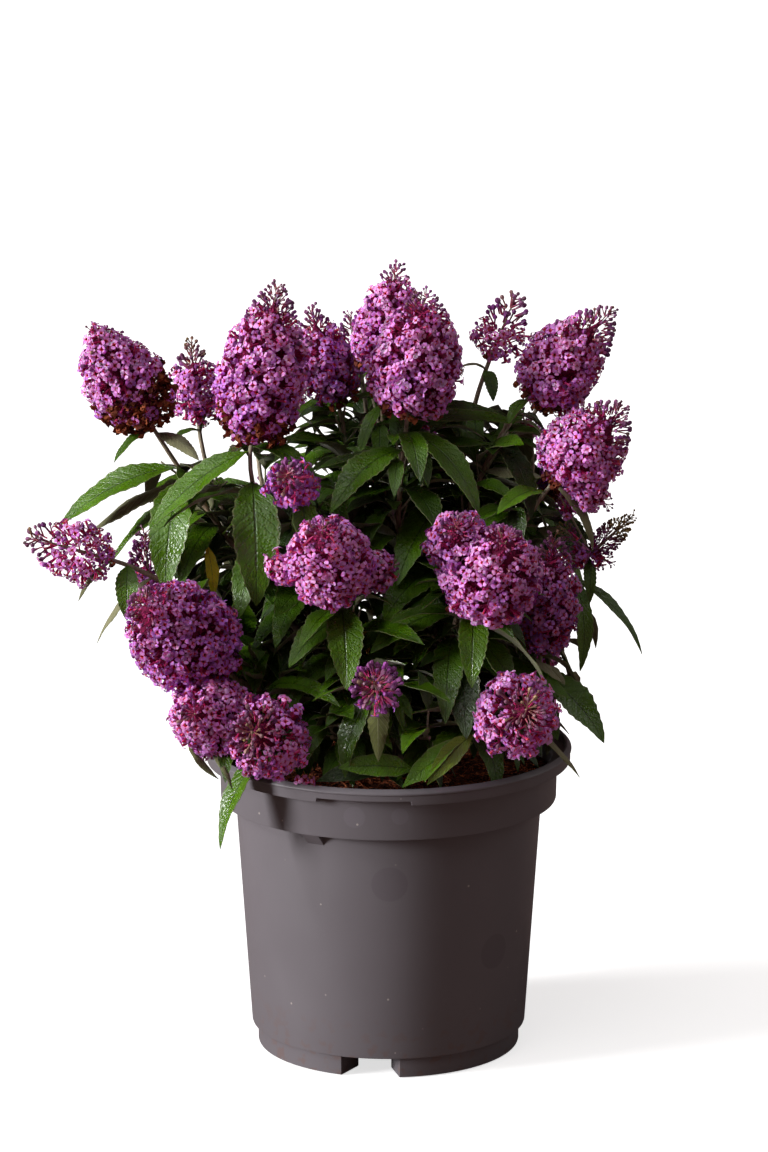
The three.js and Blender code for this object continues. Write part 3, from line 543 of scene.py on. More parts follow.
def heading(bearing, rise):
    """Unit vectors with these bearings and rises, in degrees."""
    bearing, rise = np.radians(bearing), np.radians(rise)
    level = np.cos(rise)
    return np.stack(
        np.broadcast_arrays(level * np.sin(bearing), -level * np.cos(bearing), np.sin(rise)), -1
    )


def place(bearing, reach, height):
    return heading(bearing, 0) * reach + np.array([0, 0, height])


def unit(vectors):
    return vectors / np.linalg.norm(vectors, axis=-1, keepdims=True)


def facing_of(direction):
    """The bearing and rise of a unit vector, in degrees."""
    x, y, z = direction
    return math.degrees(math.atan2(x, -y)), math.degrees(math.asin(max(-1, min(1, z))))


def across(directions):
    """Two unit vectors square to each direction and to each other."""
    side = np.cross([0.0, 0.0, 1.0], directions)
    flat = np.linalg.norm(side, axis=-1, keepdims=True) < 1e-2
    side = unit(np.where(flat, [1.0, 0.0, 0.0], side))
    return side, unit(np.cross(directions, side))


def turned_off(sides, turn):
    """The unit vector at a turn, in radians, between the two that across() gives."""
    return sides[0] * math.cos(turn) + sides[1] * math.sin(turn)


FORK = np.array([0.0, 0.0, 197.0])
CLEARANCE = 0.3  # between a bough's tip and its mass
FORK_REACH = 5
SHOOT_EASE = 0.4
LINE_SAMPLES = 201


def mass_root(mass):
    """Where a mass begins, at its bough's tip, and where its shoots part."""
    bearing, rise, length = mass["bough"]
    along = heading(bearing, rise)
    start = FORK + along * (length + CLEARANCE)
    return start, start + along * FORK_REACH


class ShootLine:
    """A shoot's middle line, from the fork to its tip, easing into the spike's lean."""

    def __init__(self, mass, shoot):
        self.foot = mass_root(mass)[1]
        self.tip = place(*shoot["at"])
        span = np.linalg.norm(self.tip - self.foot)
        self.ease = self.tip - heading(*shoot["lean"]) * SHOOT_EASE * span
        points = self.on_curve(np.linspace(0, 1, LINE_SAMPLES))
        steps = np.linalg.norm(np.diff(points, axis=0), axis=1)
        self.lengths = np.concatenate([[0], np.cumsum(steps)])
        self.length = self.lengths[-1]

    def on_curve(self, t):
        t = np.asarray(t, float)[..., None]
        return (1 - t) ** 2 * self.foot + 2 * t * (1 - t) * self.ease + t**2 * self.tip

    def along_curve(self, share):
        """The curve's own parameter at a share of its length."""
        at = np.asarray(share) * self.length
        return np.interp(at, self.lengths, np.linspace(0, 1, LINE_SAMPLES))

    def point(self, share):
        return self.on_curve(self.along_curve(share))

    def tangent(self, share):
        t = self.along_curve(share)
        low, high = np.maximum(t - 1e-4, 0), np.minimum(t + 1e-4, 1)
        return unit(self.on_curve(high) - self.on_curve(low))


# ---- Leaves, in millimetres ----

LEAF_BEND = 0.7
LEAF_PETIOLE = 0.05
LEAF_ROOT_SPREAD = 52
LEAF_STRAY = 15
LEAF_TRIES = 5
LEAF_STEPS = 12
LEAF_SHARES = (0.08, 0.94)  # of the shoot's length, for the first pair and the last
LEAF_LONGEST = 84
LEAF_SHORTEST = 50
LEAF_SLIMNESS = 0.29
LEAF_TRY_STRAY = 0.8
LEAF_TRY_SHORTER = 0.08
LEAF_DROOPS = (40, 100)
LEAF_HEADROOM = 5  # over the rim and the substrate
RIM_TOP = 191
RIM_INSIDE = 101.7
SUBSTRATE_TOP = 174.5
CROWN_FOOT_HEIGHT = 180
CROWN_WAIST_HEIGHT = 260
CROWN_SHOULDER_HEIGHT = 330
CROWN_TOP_HEIGHT = 450
CROWN_FOOT_REACH = 118
CROWN_LEFT_REACH = 156
CROWN_RIGHT_REACH = 132
CROWN_TAPER = 70
SPIKE_SLIM = 32
LAST_AXIL = 0.93
TWIG_SPREAD = 25
TWIG_PAIR_TURN = math.pi / 2
TWIG_GAP = 4.2  # from one small leaf's points to another's
LISTED_GAP = 11  # round the leaves set one by one, as seen from in front


def leaf_point(leaf, share=1.0):
    """The point on a leaf's middle line at a share of its length, less its root."""
    parts = share * (np.arange(LEAF_STEPS) + 0.5) / LEAF_STEPS
    rises = leaf["rise"] - leaf["droop"] * parts**LEAF_BEND
    path = np.cumsum(heading(leaf["bearing"], rises), axis=0)
    return (path * leaf["length"] * share / LEAF_STEPS)[-1]


def leaf_half_width(width, share):
    blade = np.maximum(0, (share - LEAF_PETIOLE) / (1 - LEAF_PETIOLE))
    return width / 2 * np.sin(np.pi * blade**0.8).clip(0) ** 0.85


def crown_reach(height, on_left):
    """How far out ordinary leaves reach at a height."""
    spread = smoothstep(height, CROWN_FOOT_HEIGHT, CROWN_WAIST_HEIGHT)
    close = smoothstep(height, CROWN_SHOULDER_HEIGHT, CROWN_TOP_HEIGHT)
    widest = CROWN_LEFT_REACH if on_left else CROWN_RIGHT_REACH
    return lerp(lerp(CROWN_FOOT_REACH, widest, spread), widest - CROWN_TAPER, close)


def keeps_to_crown(root, leaf):
    """Whether a leaf keeps off the rim, in the crown's reach and out of the sky gaps."""
    for share in (0.25, 0.5, 0.75, 1):
        x, y, z = root + leaf_point(leaf, share)
        reach = math.hypot(x, y)
        lowest = (RIM_TOP if reach > RIM_INSIDE else SUBSTRATE_TOP) + LEAF_HEADROOM
        if z < lowest or reach > crown_reach(z, x < 0):
            return False
        seen = z + SKY_DROP * y
        for middle, level, half_width, half_height in SKY_GAPS:
            if math.hypot((x - middle) / half_width, (seen - level) / half_height) < 1:
                return False
    return True


def rule_leaves(line, shoot, draw):
    """The leaves that the rule sets on a shoot: crossed pairs, each leaf with its tries."""
    first_turn = draw(0, 360)
    for pair in range(shoot["pairs"]):
        step = min((pair + draw(0, 0.4)) / (shoot["pairs"] - 0.6), 1)
        share = lerp(*LEAF_SHARES, step)
        along = line.tangent(share)
        for hand in (0, 180):
            tries = []
            for attempt in range(LEAF_TRIES):
                stray = LEAF_STRAY * (1 + LEAF_TRY_STRAY * attempt)
                turn = math.radians(first_turn + 90 * pair + hand + draw(-stray, stray))
                spread = math.radians(LEAF_ROOT_SPREAD + draw(-10, 10))
                out = turned_off(across(along), turn)
                bearing, rise = facing_of(along * math.cos(spread) + out * math.sin(spread))
                length = lerp(LEAF_LONGEST, LEAF_SHORTEST, share) * draw(0.9, 1.1)
                length *= 1 - LEAF_TRY_SHORTER * attempt
                width = LEAF_SLIMNESS * length * draw(0.85, 1.15)
                values = (share, bearing, rise, length, width, draw(*LEAF_DROOPS), draw(-20, 20))
                tries.append(dict(zip(LEAF_FIELDS, values)))
            yield tries


class Growth:
    """What grows on the fork: shoots, leaves, side twigs and spikes, in millimetres."""

    def __init__(self, side_twigs):
        self.lines = []  # of the shoots
        self.leaves = []  # (root, leaf, tone, line)
        self.small_leaves = []  # (root, leaf, tone)
        self.listed = []  # places on the leaves set one by one
        self.spikes = []  # (line, shoot)
        self.twigs = []  # (start, end)
        for index, mass in enumerate(MASSES):
            self.grow_mass(index, mass)
        self.grow_side_spikes()
        self.grow_side_twigs(side_twigs)

    def grow_mass(self, index, mass):
        draw = Draws(SEED + 100 * index)
        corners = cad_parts["foliage_" + mass["name"]].data.vertices
        tips = KDTree(len(corners))
        for i, vertex in enumerate(corners):
            tips.insert(vertex.co / MM, i)
        tips.balance()
        grown = lambda root, leaf: tips.find(root + leaf_point(leaf))[2] < 0.05

        lines = [ShootLine(mass, shoot) for shoot in mass["shoots"]]
        for line, shoot in zip(lines, mass["shoots"]):
            if shoot["spike"]:
                # the solids draw as many numbers for the spike's corners
                bands, sides = (4, 6) if shoot["spike"][1] < SPIKE_SLIM else (5, 8)
                for _ in range((bands + 1) * sides):
                    draw()
                self.spikes.append((line, shoot))
        tone = Draws(FILLER_SEED + index)
        for which, (line, shoot) in enumerate(zip(lines, mass["shoots"])):
            self.lines.append(line)
            turned = TURNED.get((mass["name"], which), ())
            for i, values in enumerate(shoot["leaves"]):
                leaf = {"roll": 0, **dict(zip(LEAF_FIELDS, values))}
                leaf["roll"] += 180 * (i in turned)
                leaf.update(OPENED.get((mass["name"], which, i), {}))
                root = line.point(leaf["share"])
                drawn = tone(0.35, 0.8)
                self.leaves.append((root, leaf, leaf.get("tone", drawn), line))
                self.list_leaf(root, leaf)
            for tries in rule_leaves(line, shoot, draw):
                for leaf in tries:
                    root = line.point(leaf["share"])
                    if keeps_to_crown(root, leaf) and grown(root, leaf):
                        self.leaves.append((root, leaf, tone(0.1, 0.7), line))
                        break

    def grow_side_spikes(self):
        for name, which, side in SIDE_SPIKES:
            parent = next(mass for mass in MASSES if mass["name"] == name)
            tip, base = place(*parent["shoots"][which]["at"]), place(*side["at"])
            self.twigs.append((tip, base))
            self.spikes.append((SimpleNamespace(tip=base), side))
        for root, *values, tone in FINER_LEAVES:
            leaf = dict(zip(LEAF_FIELDS[1:], values))
            self.small_leaves.append((np.array(root), leaf, tone))
            self.list_leaf(root, leaf)

    def list_leaf(self, root, leaf):
        self.listed.extend(root + leaf_point(leaf, share) for share in (0.3, 0.55, 0.8))

    def grow_side_twigs(self, tries):
        """Short twigs in the leaf axils and off the shoots, each with a few small leaves."""
        starts = [
            (root, leaf["bearing"], leaf["rise"] + TWIG_SPREAD, line.tangent(leaf["share"]))
            for root, leaf, _, line in self.leaves * tries
            if leaf["share"] <= LAST_AXIL
        ]
        for index, line in enumerate(self.lines):
            for step, share in enumerate(np.linspace(0.05, 0.8, 9)):
                bearing = GOLDEN_TURN * (step + index)
                starts.append((line.point(share), bearing, 10, line.tangent(share)))
        grown = [(root, leaf) for root, leaf, *_ in self.leaves + self.small_leaves]
        taken = [root + leaf_point(leaf, s) for root, leaf in grown for s in (0.3, 0.6, 0.9)]
        draw = Draws(FILLER_SEED)
        for root, bearing, rise, along in starts:
            aim = unit(heading(bearing, rise) + along * draw(0.3, 1.0))
            tip = root + aim * draw(6, 26) + np.array([0, 0, draw(0, 4)])
            turn = draw(0, math.pi)
            kept = []
            for pair, hand in ((0, 0), (0, math.pi), (1, 0), (1, math.pi)):
                at = lerp(root, tip, 0.75 + 0.25 * pair)
                small = self.small_leaf(draw, aim, pair, turn + pair * TWIG_PAIR_TURN + hand)
                if not keeps_to_crown(at, small):
                    continue
                ends = [at + leaf_point(small, s) for s in (0.35, 0.65, 0.95)]
                if self.in_spike(ends) or self.crowded(ends, taken) or self.hides_listed(ends):
                    continue
                taken.extend(ends)
                kept.append((at, small, draw(0.1, 0.9)))
            if kept:
                self.twigs.append((root, tip))
                self.small_leaves.extend(kept)

    def small_leaf(self, draw, aim, pair, turn):
        """A leaf at a turn round a side twig; the second pair is shorter and closer to it."""
        out = turned_off(across(aim), turn + draw(-0.3, 0.3))
        spread = draw(0.45, 0.95) - 0.25 * pair
        bearing, rise = facing_of(aim * math.cos(spread) + out * math.sin(spread))
        length = draw(32, 62) * (1 - 0.3 * pair)
        values = (bearing, rise, length, length * draw(0.26, 0.38), draw(40, 110), draw(-25, 25))
        return dict(zip(LEAF_FIELDS[1:], values))

    def in_spike(self, points):
        """Whether any of these points comes within a flower spike."""
        for line, shoot in self.spikes:
            along = heading(*shoot["lean"])
            length, width = shoot["spike"]
            for point in points:
                off = point - line.tip
                share = off @ along / length
                if -0.05 < share < 1.05:
                    out = np.linalg.norm(off - along * (off @ along))
                    if out < width / 2 * spike_shape(min(max(share, 0), 1)) + 1:
                        return True
        return False

    def hides_listed(self, points):
        """Whether any of these points comes in front of a leaf set one by one."""
        x, y, z = np.array(self.listed).T
        for point in points:
            seen = z + SKY_DROP * y - point[2] - SKY_DROP * point[1]
            if np.any((np.hypot(x - point[0], seen) < LISTED_GAP) & (y > point[1] + 1)):
                return True
        return False

    def crowded(self, points, taken):
        """Whether any of these points comes close to a place that is taken."""
        spots = np.array(taken)
        return any(np.min(np.sum((spots - p) ** 2, axis=1)) < TWIG_GAP**2 for p in points)


def spike_shape(share):
    """How wide a flower spike is at a share of its length, against its full width."""
    return np.sin(np.pi * (0.05 + 0.91 * share) ** 0.72) ** 0.8


# ---- Modelling by hand ----


def put_down():
    """Leaves edit mode and lets go of everything."""
    if bpy.context.object and bpy.context.object.mode != "OBJECT":
        bpy.ops.object.mode_set(mode="OBJECT")
    bpy.ops.object.select_all(action="DESELECT")
    bpy.context.view_layer.objects.active = None


def pick(test, kind="verts"):
    """Selects the verts or edges of the mesh in edit mode whose middle passes a test."""
    bpy.ops.mesh.select_mode(type="VERT" if kind == "verts" else "EDGE")
    mesh = bmesh.from_edit_mesh(bpy.context.object.data)
    for item in (*mesh.faces, *mesh.edges, *mesh.verts):
        item.select = False
    for item in list(getattr(mesh, kind)):
        middle = item.co if kind == "verts" else (item.verts[0].co + item.verts[1].co) / 2
        if test(middle):
            item.select = True
    mesh.select_flush_mode()
    bmesh.update_edit_mesh(bpy.context.object.data)


def ring(columns, radius):
    """A ring of edges round the origin, in edit mode with all of them selected."""
    put_down()
    bpy.ops.mesh.primitive_circle_add(vertices=columns, radius=radius, location=(0, 0, 0))
    bpy.ops.object.mode_set(mode="EDIT")
    pick(lambda middle: True, "edges")
    return bpy.context.object


def extrude(offset, scale=(1, 1, 1), pivot=(0, 0, 0)):
    """Draws the selected edges out by an offset and resizes what comes out about a pivot."""
    bpy.ops.mesh.extrude_edges_move(TRANSFORM_OT_translate={"value": offset})
    bpy.ops.transform.resize(value=scale, center_override=pivot)


def close_ring():
    """Draws the selected ring in to one point at its middle."""
    bpy.ops.mesh.extrude_edges_move(TRANSFORM_OT_translate={"value": (0, 0, 0)})
    bpy.ops.mesh.merge(type="CENTER")


def finish_piece(piece, name, slot, replaced=(), smooth=60):
    """Names a piece, smooths it, hides the solids that it replaces and sets it under the root body."""
    put_down()
    piece.name = name
    piece.data.name = name
    piece.select_set(True)
    bpy.context.view_layer.objects.active = piece
    bpy.ops.object.shade_smooth_by_angle(angle=math.radians(smooth))
    if replaced:
        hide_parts(*replaced)
    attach(piece, "root")
    put_down()


def unit_tube(rows, sides):
    """A tube of radius 1 from z = 0 to z = 1, to be bent along a line."""
    ring(sides, 1)
    bpy.ops.mesh.flip_normals()
    for _ in range(rows):
        extrude((0, 0, 1 / rows))
    bpy.ops.mesh.edge_face_add()
    pick(lambda middle: middle.z < 1e-6, "edges")
    bpy.ops.mesh.edge_face_add()
    return template_of(bpy.context.object)


def unit_leaf(rows, columns):
    """A flat leaf: x across from -1 to 1, y from root to tip, its underside at z = -1."""
    put_down()
    bpy.ops.mesh.primitive_grid_add(
        x_subdivisions=columns, y_subdivisions=rows, size=2, location=(0, 0, 0)
    )
    leaf = bpy.context.object
    bpy.ops.object.mode_set(mode="EDIT")
    bpy.ops.transform.translate(value=(0, 1, 0))
    bpy.ops.transform.resize(value=(1, 0.5, 1), center_override=(0, 0, 0))
    for end in (0, 1):
        pick(lambda middle: abs(middle.y - end) < 1e-4)
        bpy.ops.mesh.merge(type="CENTER")
    bpy.ops.object.mode_set(mode="OBJECT")
    for _ in range(2):
        leaf.data.materials.append(None)
    sheet = leaf.modifiers.new("Thickness", "SOLIDIFY")
    sheet.thickness = 1
    sheet.offset = -1
    sheet.material_offset = 1
    bpy.ops.object.modifier_apply(modifier=sheet.name)
    return template_of(leaf)


def unit_floret():
    """An open floret one unit across that faces +Z: four lobes, none quite alike, and a tube."""
    ring(8, 0.14)
    for quarter, curl in enumerate((0.05, -0.07, 0.0, -0.12)):
        turn = math.radians(22.5 + 90 * quarter)
        out = Vector((math.cos(turn), math.sin(turn), 0))
        pick(lambda middle: middle.dot(out) > 0.12 and middle.length < 0.15, "edges")
        lobe = ((0.12, 0.07, 4.2), (0.15, 0.02 + curl, 1.08), (0.09, -0.05 + curl, 0.62))
        for step, lift, widen in lobe:
            move = {"value": (out.x * step, out.y * step, lift)}
            bpy.ops.mesh.extrude_edges_move(TRANSFORM_OT_translate=move)
            spread_along(out.cross(Vector((0, 0, 1))), widen)
    pick(lambda middle: middle.length < 0.135 and middle.z == 0, "edges")
    extrude((0, 0, -1.15), (0.5, 0.5, 1))
    bpy.ops.mesh.select_all(action="SELECT")
    return template_of(bpy.context.object)


def spread_along(direction, factor):
    """Spreads the selected verts along a direction about their own middle."""
    mesh = bmesh.from_edit_mesh(bpy.context.object.data)
    chosen = [vert for vert in mesh.verts if vert.select]
    middle = sum((vert.co for vert in chosen), Vector()) / len(chosen)
    for vert in chosen:
        vert.co += direction * (vert.co - middle).dot(direction) * (factor - 1)
    bmesh.update_edit_mesh(bpy.context.object.data)


def drawn_out(columns, radius, steps):
    """A ring drawn up along +Z in steps, each with its rise and its scale."""
    ring(columns, radius)
    for rise, scale in steps:
        extrude((0, 0, rise), (scale, scale, 1))


def unit_bud():
    """A closed floret one unit long along +Z: a slim tube that swells to a blunt tip."""
    drawn_out(5, 0.062, ((0.66, 1.0), (0.11, 2.5), (0.13, 1.02), (0.1, 0.5)))
    bpy.ops.mesh.edge_face_add()
    return template_of(bpy.context.object)


def unit_withered():
    """A withered floret one unit long along +Z: a limp tube with a crumpled rag on it."""
    drawn_out(7, 0.08, ((0.45, 0.9), (0.2, 3.4), (0.22, 1.35), (-0.06, 0.62)))
    rag = template_of(bpy.context.object)
    noise.seed_set(RAG_SEED)  # without it the clock seeds the vector noise
    for spot in rag["co"]:
        if spot[2] > 0.5:
            spot += 0.34 * np.array(noise.noise_vector(Vector(spot * 3.1)))
    return rag


def template_of(piece):
    """A modelled unit as arrays, to be copied; the object itself goes."""
    put_down()
    mesh = piece.data
    template = {
        "co": np.array([vert.co[:] for vert in mesh.vertices]),
        "loops": np.array([loop.vertex_index for loop in mesh.loops]),
        "starts": np.array([face.loop_start for face in mesh.polygons]),
        "materials": np.array([face.material_index for face in mesh.polygons]),
        "triangles": sum(face.loop_total - 2 for face in mesh.polygons),
    }
    bpy.data.objects.remove(piece)
    return template


def set_piece(name, slot, template, places, finishes, maps=None, replaced=(), smooth=60, **values):
    """One piece of many copies of a unit. places is copies x verts x 3, in millimetres.

    maps is verts x 2, and each of the values becomes an attribute of the verts.
    """
    copies, verts = places.shape[:2]
    loops = len(template["loops"])
    shift = np.arange(copies)[:, None]
    fill = lambda made, key, array, kind: made.foreach_set(key, array.astype(kind).ravel())
    mesh = bpy.data.meshes.new(name)
    mesh.vertices.add(copies * verts)
    fill(mesh.vertices, "co", places * MM, np.float32)
    mesh.loops.add(copies * loops)
    fill(mesh.loops, "vertex_index", template["loops"] + shift * verts, np.int32)
    mesh.polygons.add(copies * len(template["starts"]))
    fill(mesh.polygons, "loop_start", template["starts"] + shift * loops, np.int32)
    fill(mesh.polygons, "material_index", np.tile(template["materials"], copies), np.int32)
    mesh.update(calc_edges=True)
    mesh.validate()
    maps = template["co"][:, :2] if maps is None else maps
    corners = np.broadcast_to(maps[template["loops"]], (copies, loops, 2))
    fill(mesh.uv_layers.new(name="UVMap").uv, "vector", corners, np.float32)
    for key, given in values.items():
        given = np.broadcast_to(given[:, None] if given.ndim == 1 else given, (copies, verts))
        fill(mesh.attributes.new(key, "FLOAT", "POINT").data, "value", given, np.float32)
    for finish in finishes:
        mesh.materials.append(finish)
    piece = bpy.data.objects.new(name, mesh)
    bpy.context.scene.collection.objects.link(piece)
    finish_piece(piece, name, slot, replaced, smooth)


def rows_of(template, rows):
    """Which of a tube's rows each of its verts is in."""
    return np.rint(template["co"][:, 2] * rows).astype(int)


def in_shares(template, count):
    """Slices of so many copies each that no piece passes the limit of triangles."""
    parts = max(1, math.ceil(template["triangles"] * count / MOST_TRIANGLES))
    edges = np.linspace(0, count, parts + 1).astype(int)
    return [slice(a, b) for a, b in zip(edges, edges[1:])]


def bend_tubes(template, lines, radii):
    """Copies of the unit tube along lines; lines is copies x rows x 3, radii copies x rows."""
    x, y = template["co"].T[:2, :, None]
    row = rows_of(template, lines.shape[1] - 1)
    u, v = across(unit(np.gradient(lines, axis=1)))
    return lines[:, row] + (u[:, row] * x + v[:, row] * y) * radii[:, row, None]


BLADE_STEPS = 48
BLADE_NARROWEST = (0.8, 0.4)  # half the width at the root, and that at the tip
RIPPLES = 2.3
RIPPLE_STRAY = 2.399  # from leaf to leaf
RIPPLE_LAG = 1.9  # of the right half behind the left one


def bend_leaves(template, leaves, settings):
    """Copies of the unit leaf, each drooping along its own line with a fold and a ripple."""
    x, y, z = template["co"].T
    roots = np.array([item[0] for item in leaves])
    value = lambda key: np.array([item[1][key] for item in leaves])[:, None]
    bearing, rise, length, width = map(value, ("bearing", "rise", "length", "width"))
    droop, roll = value("droop"), np.radians(value("roll"))[..., None]
    parts = (np.arange(BLADE_STEPS) + 0.5) / BLADE_STEPS
    path = np.cumsum(heading(bearing, rise - droop * parts**LEAF_BEND), axis=1)
    path = np.concatenate([np.zeros((len(leaves), 1, 3)), path], axis=1)
    path = path * (length / BLADE_STEPS)[..., None]
    spot = y * BLADE_STEPS
    low = np.minimum(spot.astype(int), BLADE_STEPS - 1)
    part = (spot - low)[:, None]
    middle = roots[:, None] + path[:, low] * (1 - part) + path[:, low + 1] * part
    along = heading(bearing, rise - droop * y**LEAF_BEND)
    side = heading(bearing - 90, 0 * bearing)
    side = side * np.cos(roll) + np.cross(along, side) * np.sin(roll)
    up = unit(np.cross(side, along))
    rows = np.rint(y * (len(np.unique(np.round(y, 4))) - 1)).astype(int)
    tooth = np.where(np.abs(x) > 0.99, np.where(rows % 2 == 0, 1, -1), 0)
    half = leaf_half_width(width, y) * (1 + settings.tooth * tooth)
    half = np.maximum(half, lerp(*BLADE_NARROWEST, y))
    phase = np.arange(len(leaves))[:, None] * RIPPLE_STRAY
    ripple = np.sin(2 * np.pi * (RIPPLES * y + phase) + (x > 0) * RIPPLE_LAG) * settings.wave
    height = (settings.fold * np.abs(x) + ripple * x * x) * half
    keel = settings.keel / MM * lerp(1.2, 0.4, y)
    height = height + z * lerp(keel, settings.margin / MM, np.abs(x))
    return middle + side * (half * x)[..., None] + up * height[..., None]


def set_copies(template, spots, facings, spins, scales):
    """Copies of a unit set at spots, its +Z along the facings, spun and scaled."""
    u, v = across(facings)
    cos, sin = np.cos(spins)[:, None], np.sin(spins)[:, None]
    a, b = u * cos + v * sin, v * cos - u * sin
    x, y, z = np.moveaxis(template["co"] * scales[:, None], -1, 0)[..., None]
    return spots[:, None] + a[:, None] * x + b[:, None] * y + facings[:, None] * z


# ---- Finishes ----


def put(tree, kind, inputs=None, **settings):
    """A shader node; inputs are plain values or the sockets that feed them."""
    node = tree.nodes.new("ShaderNode" + kind)
    for key, value in settings.items():
        setattr(node, key, value)
    for key, value in (inputs or {}).items():
        if isinstance(value, bpy.types.NodeSocket):
            tree.links.new(value, node.inputs[key])
        else:
            node.inputs[key].default_value = value
    return node


def sums(tree, operation, *values):
    """What an operation makes of plain values or sockets."""
    node = put(tree, "Math", dict(enumerate(values)), operation=operation)
    return node.outputs[0]


def times(tree, a, b):
    return sums(tree, "MULTIPLY", a, b)


def blend(tree, factor, a, b, mode="MIX"):
    """Colour b over colour a by a factor."""
    rgba = lambda value: (*value, 1) if not isinstance(value, bpy.types.NodeSocket) else value
    node = put(tree, "Mix", {0: factor, 6: rgba(a), 7: rgba(b)}, data_type="RGBA", blend_type=mode)
    return node.outputs[2]


def ease(tree, value, low, high, start=0.0, end=1.0):
    """A value turned from low..high to start..end, smoothly and no further."""
    inputs = {"Value": value, "From Min": low, "From Max": high, "To Min": start, "To Max": end}
    return put(tree, "MapRange", inputs, interpolation_type="SMOOTHSTEP").outputs[0]


def attribute(tree, name):
    return put(tree, "Attribute", attribute_name=name).outputs["Fac"]


def group_tree(name, ins, outs):
    """A node group with named inputs and outputs, and its two end nodes."""
    tree = bpy.data.node_groups.new(name, "ShaderNodeTree")
    for key, default in ins.items():
        kind = "NodeSocketVector" if default is None else "NodeSocketFloat"
        socket = tree.interface.new_socket(key, in_out="INPUT", socket_type=kind)
        if default is not None:
            socket.default_value = default
    for key in outs:
        tree.interface.new_socket(key, in_out="OUTPUT", socket_type="NodeSocketFloat")
    return tree, tree.nodes.new("NodeGroupInput").outputs, tree.nodes.new("NodeGroupOutput").inputs


def mottle_group():
    """Soft patches: a factor that wanders round 1 by an amount."""
    ins = {"Place": None, "Scale": 50.0, "Amount": 0.2, "Detail": 3.0}
    tree, given, out = group_tree("Mottle", ins, ["Factor"])
    inputs = {"Vector": given["Place"], "Scale": given["Scale"], "Detail": given["Detail"]}
    patches = put(tree, "TexNoise", inputs)
    low = sums(tree, "SUBTRACT", 1.0, given["Amount"])
    high = sums(tree, "ADD", 1.0, given["Amount"])
    inputs = {"Value": patches.outputs["Fac"], "From Min": 0.3, "From Max": 0.7}
    spread = put(tree, "MapRange", {**inputs, "To Min": low, "To Max": high}).outputs[0]
    tree.links.new(spread, out["Factor"])
    return tree


def veins_group():
    """The midrib, side veins and quilting of a leaf, from its own map."""
    tree, given, out = group_tree("Leaf veins", {"Map": None}, ["Midrib", "Side veins", "Quilting"])
    parts = put(tree, "SeparateXYZ", {0: given["Map"]})
    along, over = parts.outputs[0], parts.outputs[1]
    out_from = times(tree, sums(tree, "ABSOLUTE", sums(tree, "SUBTRACT", over, 0.5)), 2.0)
    tree.links.new(ease(tree, out_from, 0.015, 0.075, 1.0, 0.0), out["Midrib"])
    swept = sums(tree, "SUBTRACT", along, times(tree, out_from, 0.16))
    wave = sums(tree, "PINGPONG", times(tree, swept, 13.0), 0.5)
    side = ease(tree, wave, 0.0, 0.11, 1.0, 0.0)
    tree.links.new(side, out["Side veins"])
    spread = put(tree, "Mapping", {"Vector": given["Map"], "Scale": (46.0, 14.0, 1.0)})
    cells = put(tree, "TexVoronoi", {"Vector": spread.outputs[0], "Scale": 1.0}, feature="F1")
    hump = ease(tree, cells.outputs["Distance"], 0.0, 0.7, 1.0, 0.0)
    arch = ease(tree, wave, 0.0, 0.5, 0.0, 1.0)
    raised = sums(tree, "ADD", hump, times(tree, arch, 0.25))
    tree.links.new(raised, out["Quilting"])
    return tree


def furrow_group():
    """Long furrows and flakes that run up a limb."""
    ins = {"Place": None, "Scale": 1.0}
    tree, given, out = group_tree("Bark furrows", ins, ["Ridge"])
    spread = put(tree, "Mapping", {"Vector": given["Place"], "Scale": (420.0, 420.0, 60.0)})
    inputs = {0: spread.outputs[0], "Scale": given["Scale"]}
    scaled = put(tree, "VectorMath", inputs, operation="SCALE")
    grain = put(tree, "TexNoise", {"Vector": scaled.outputs[0], "Scale": 1.0, "Detail": 4.0})
    tree.links.new(ease(tree, grain.outputs["Fac"], 0.38, 0.62), out["Ridge"])
    return tree


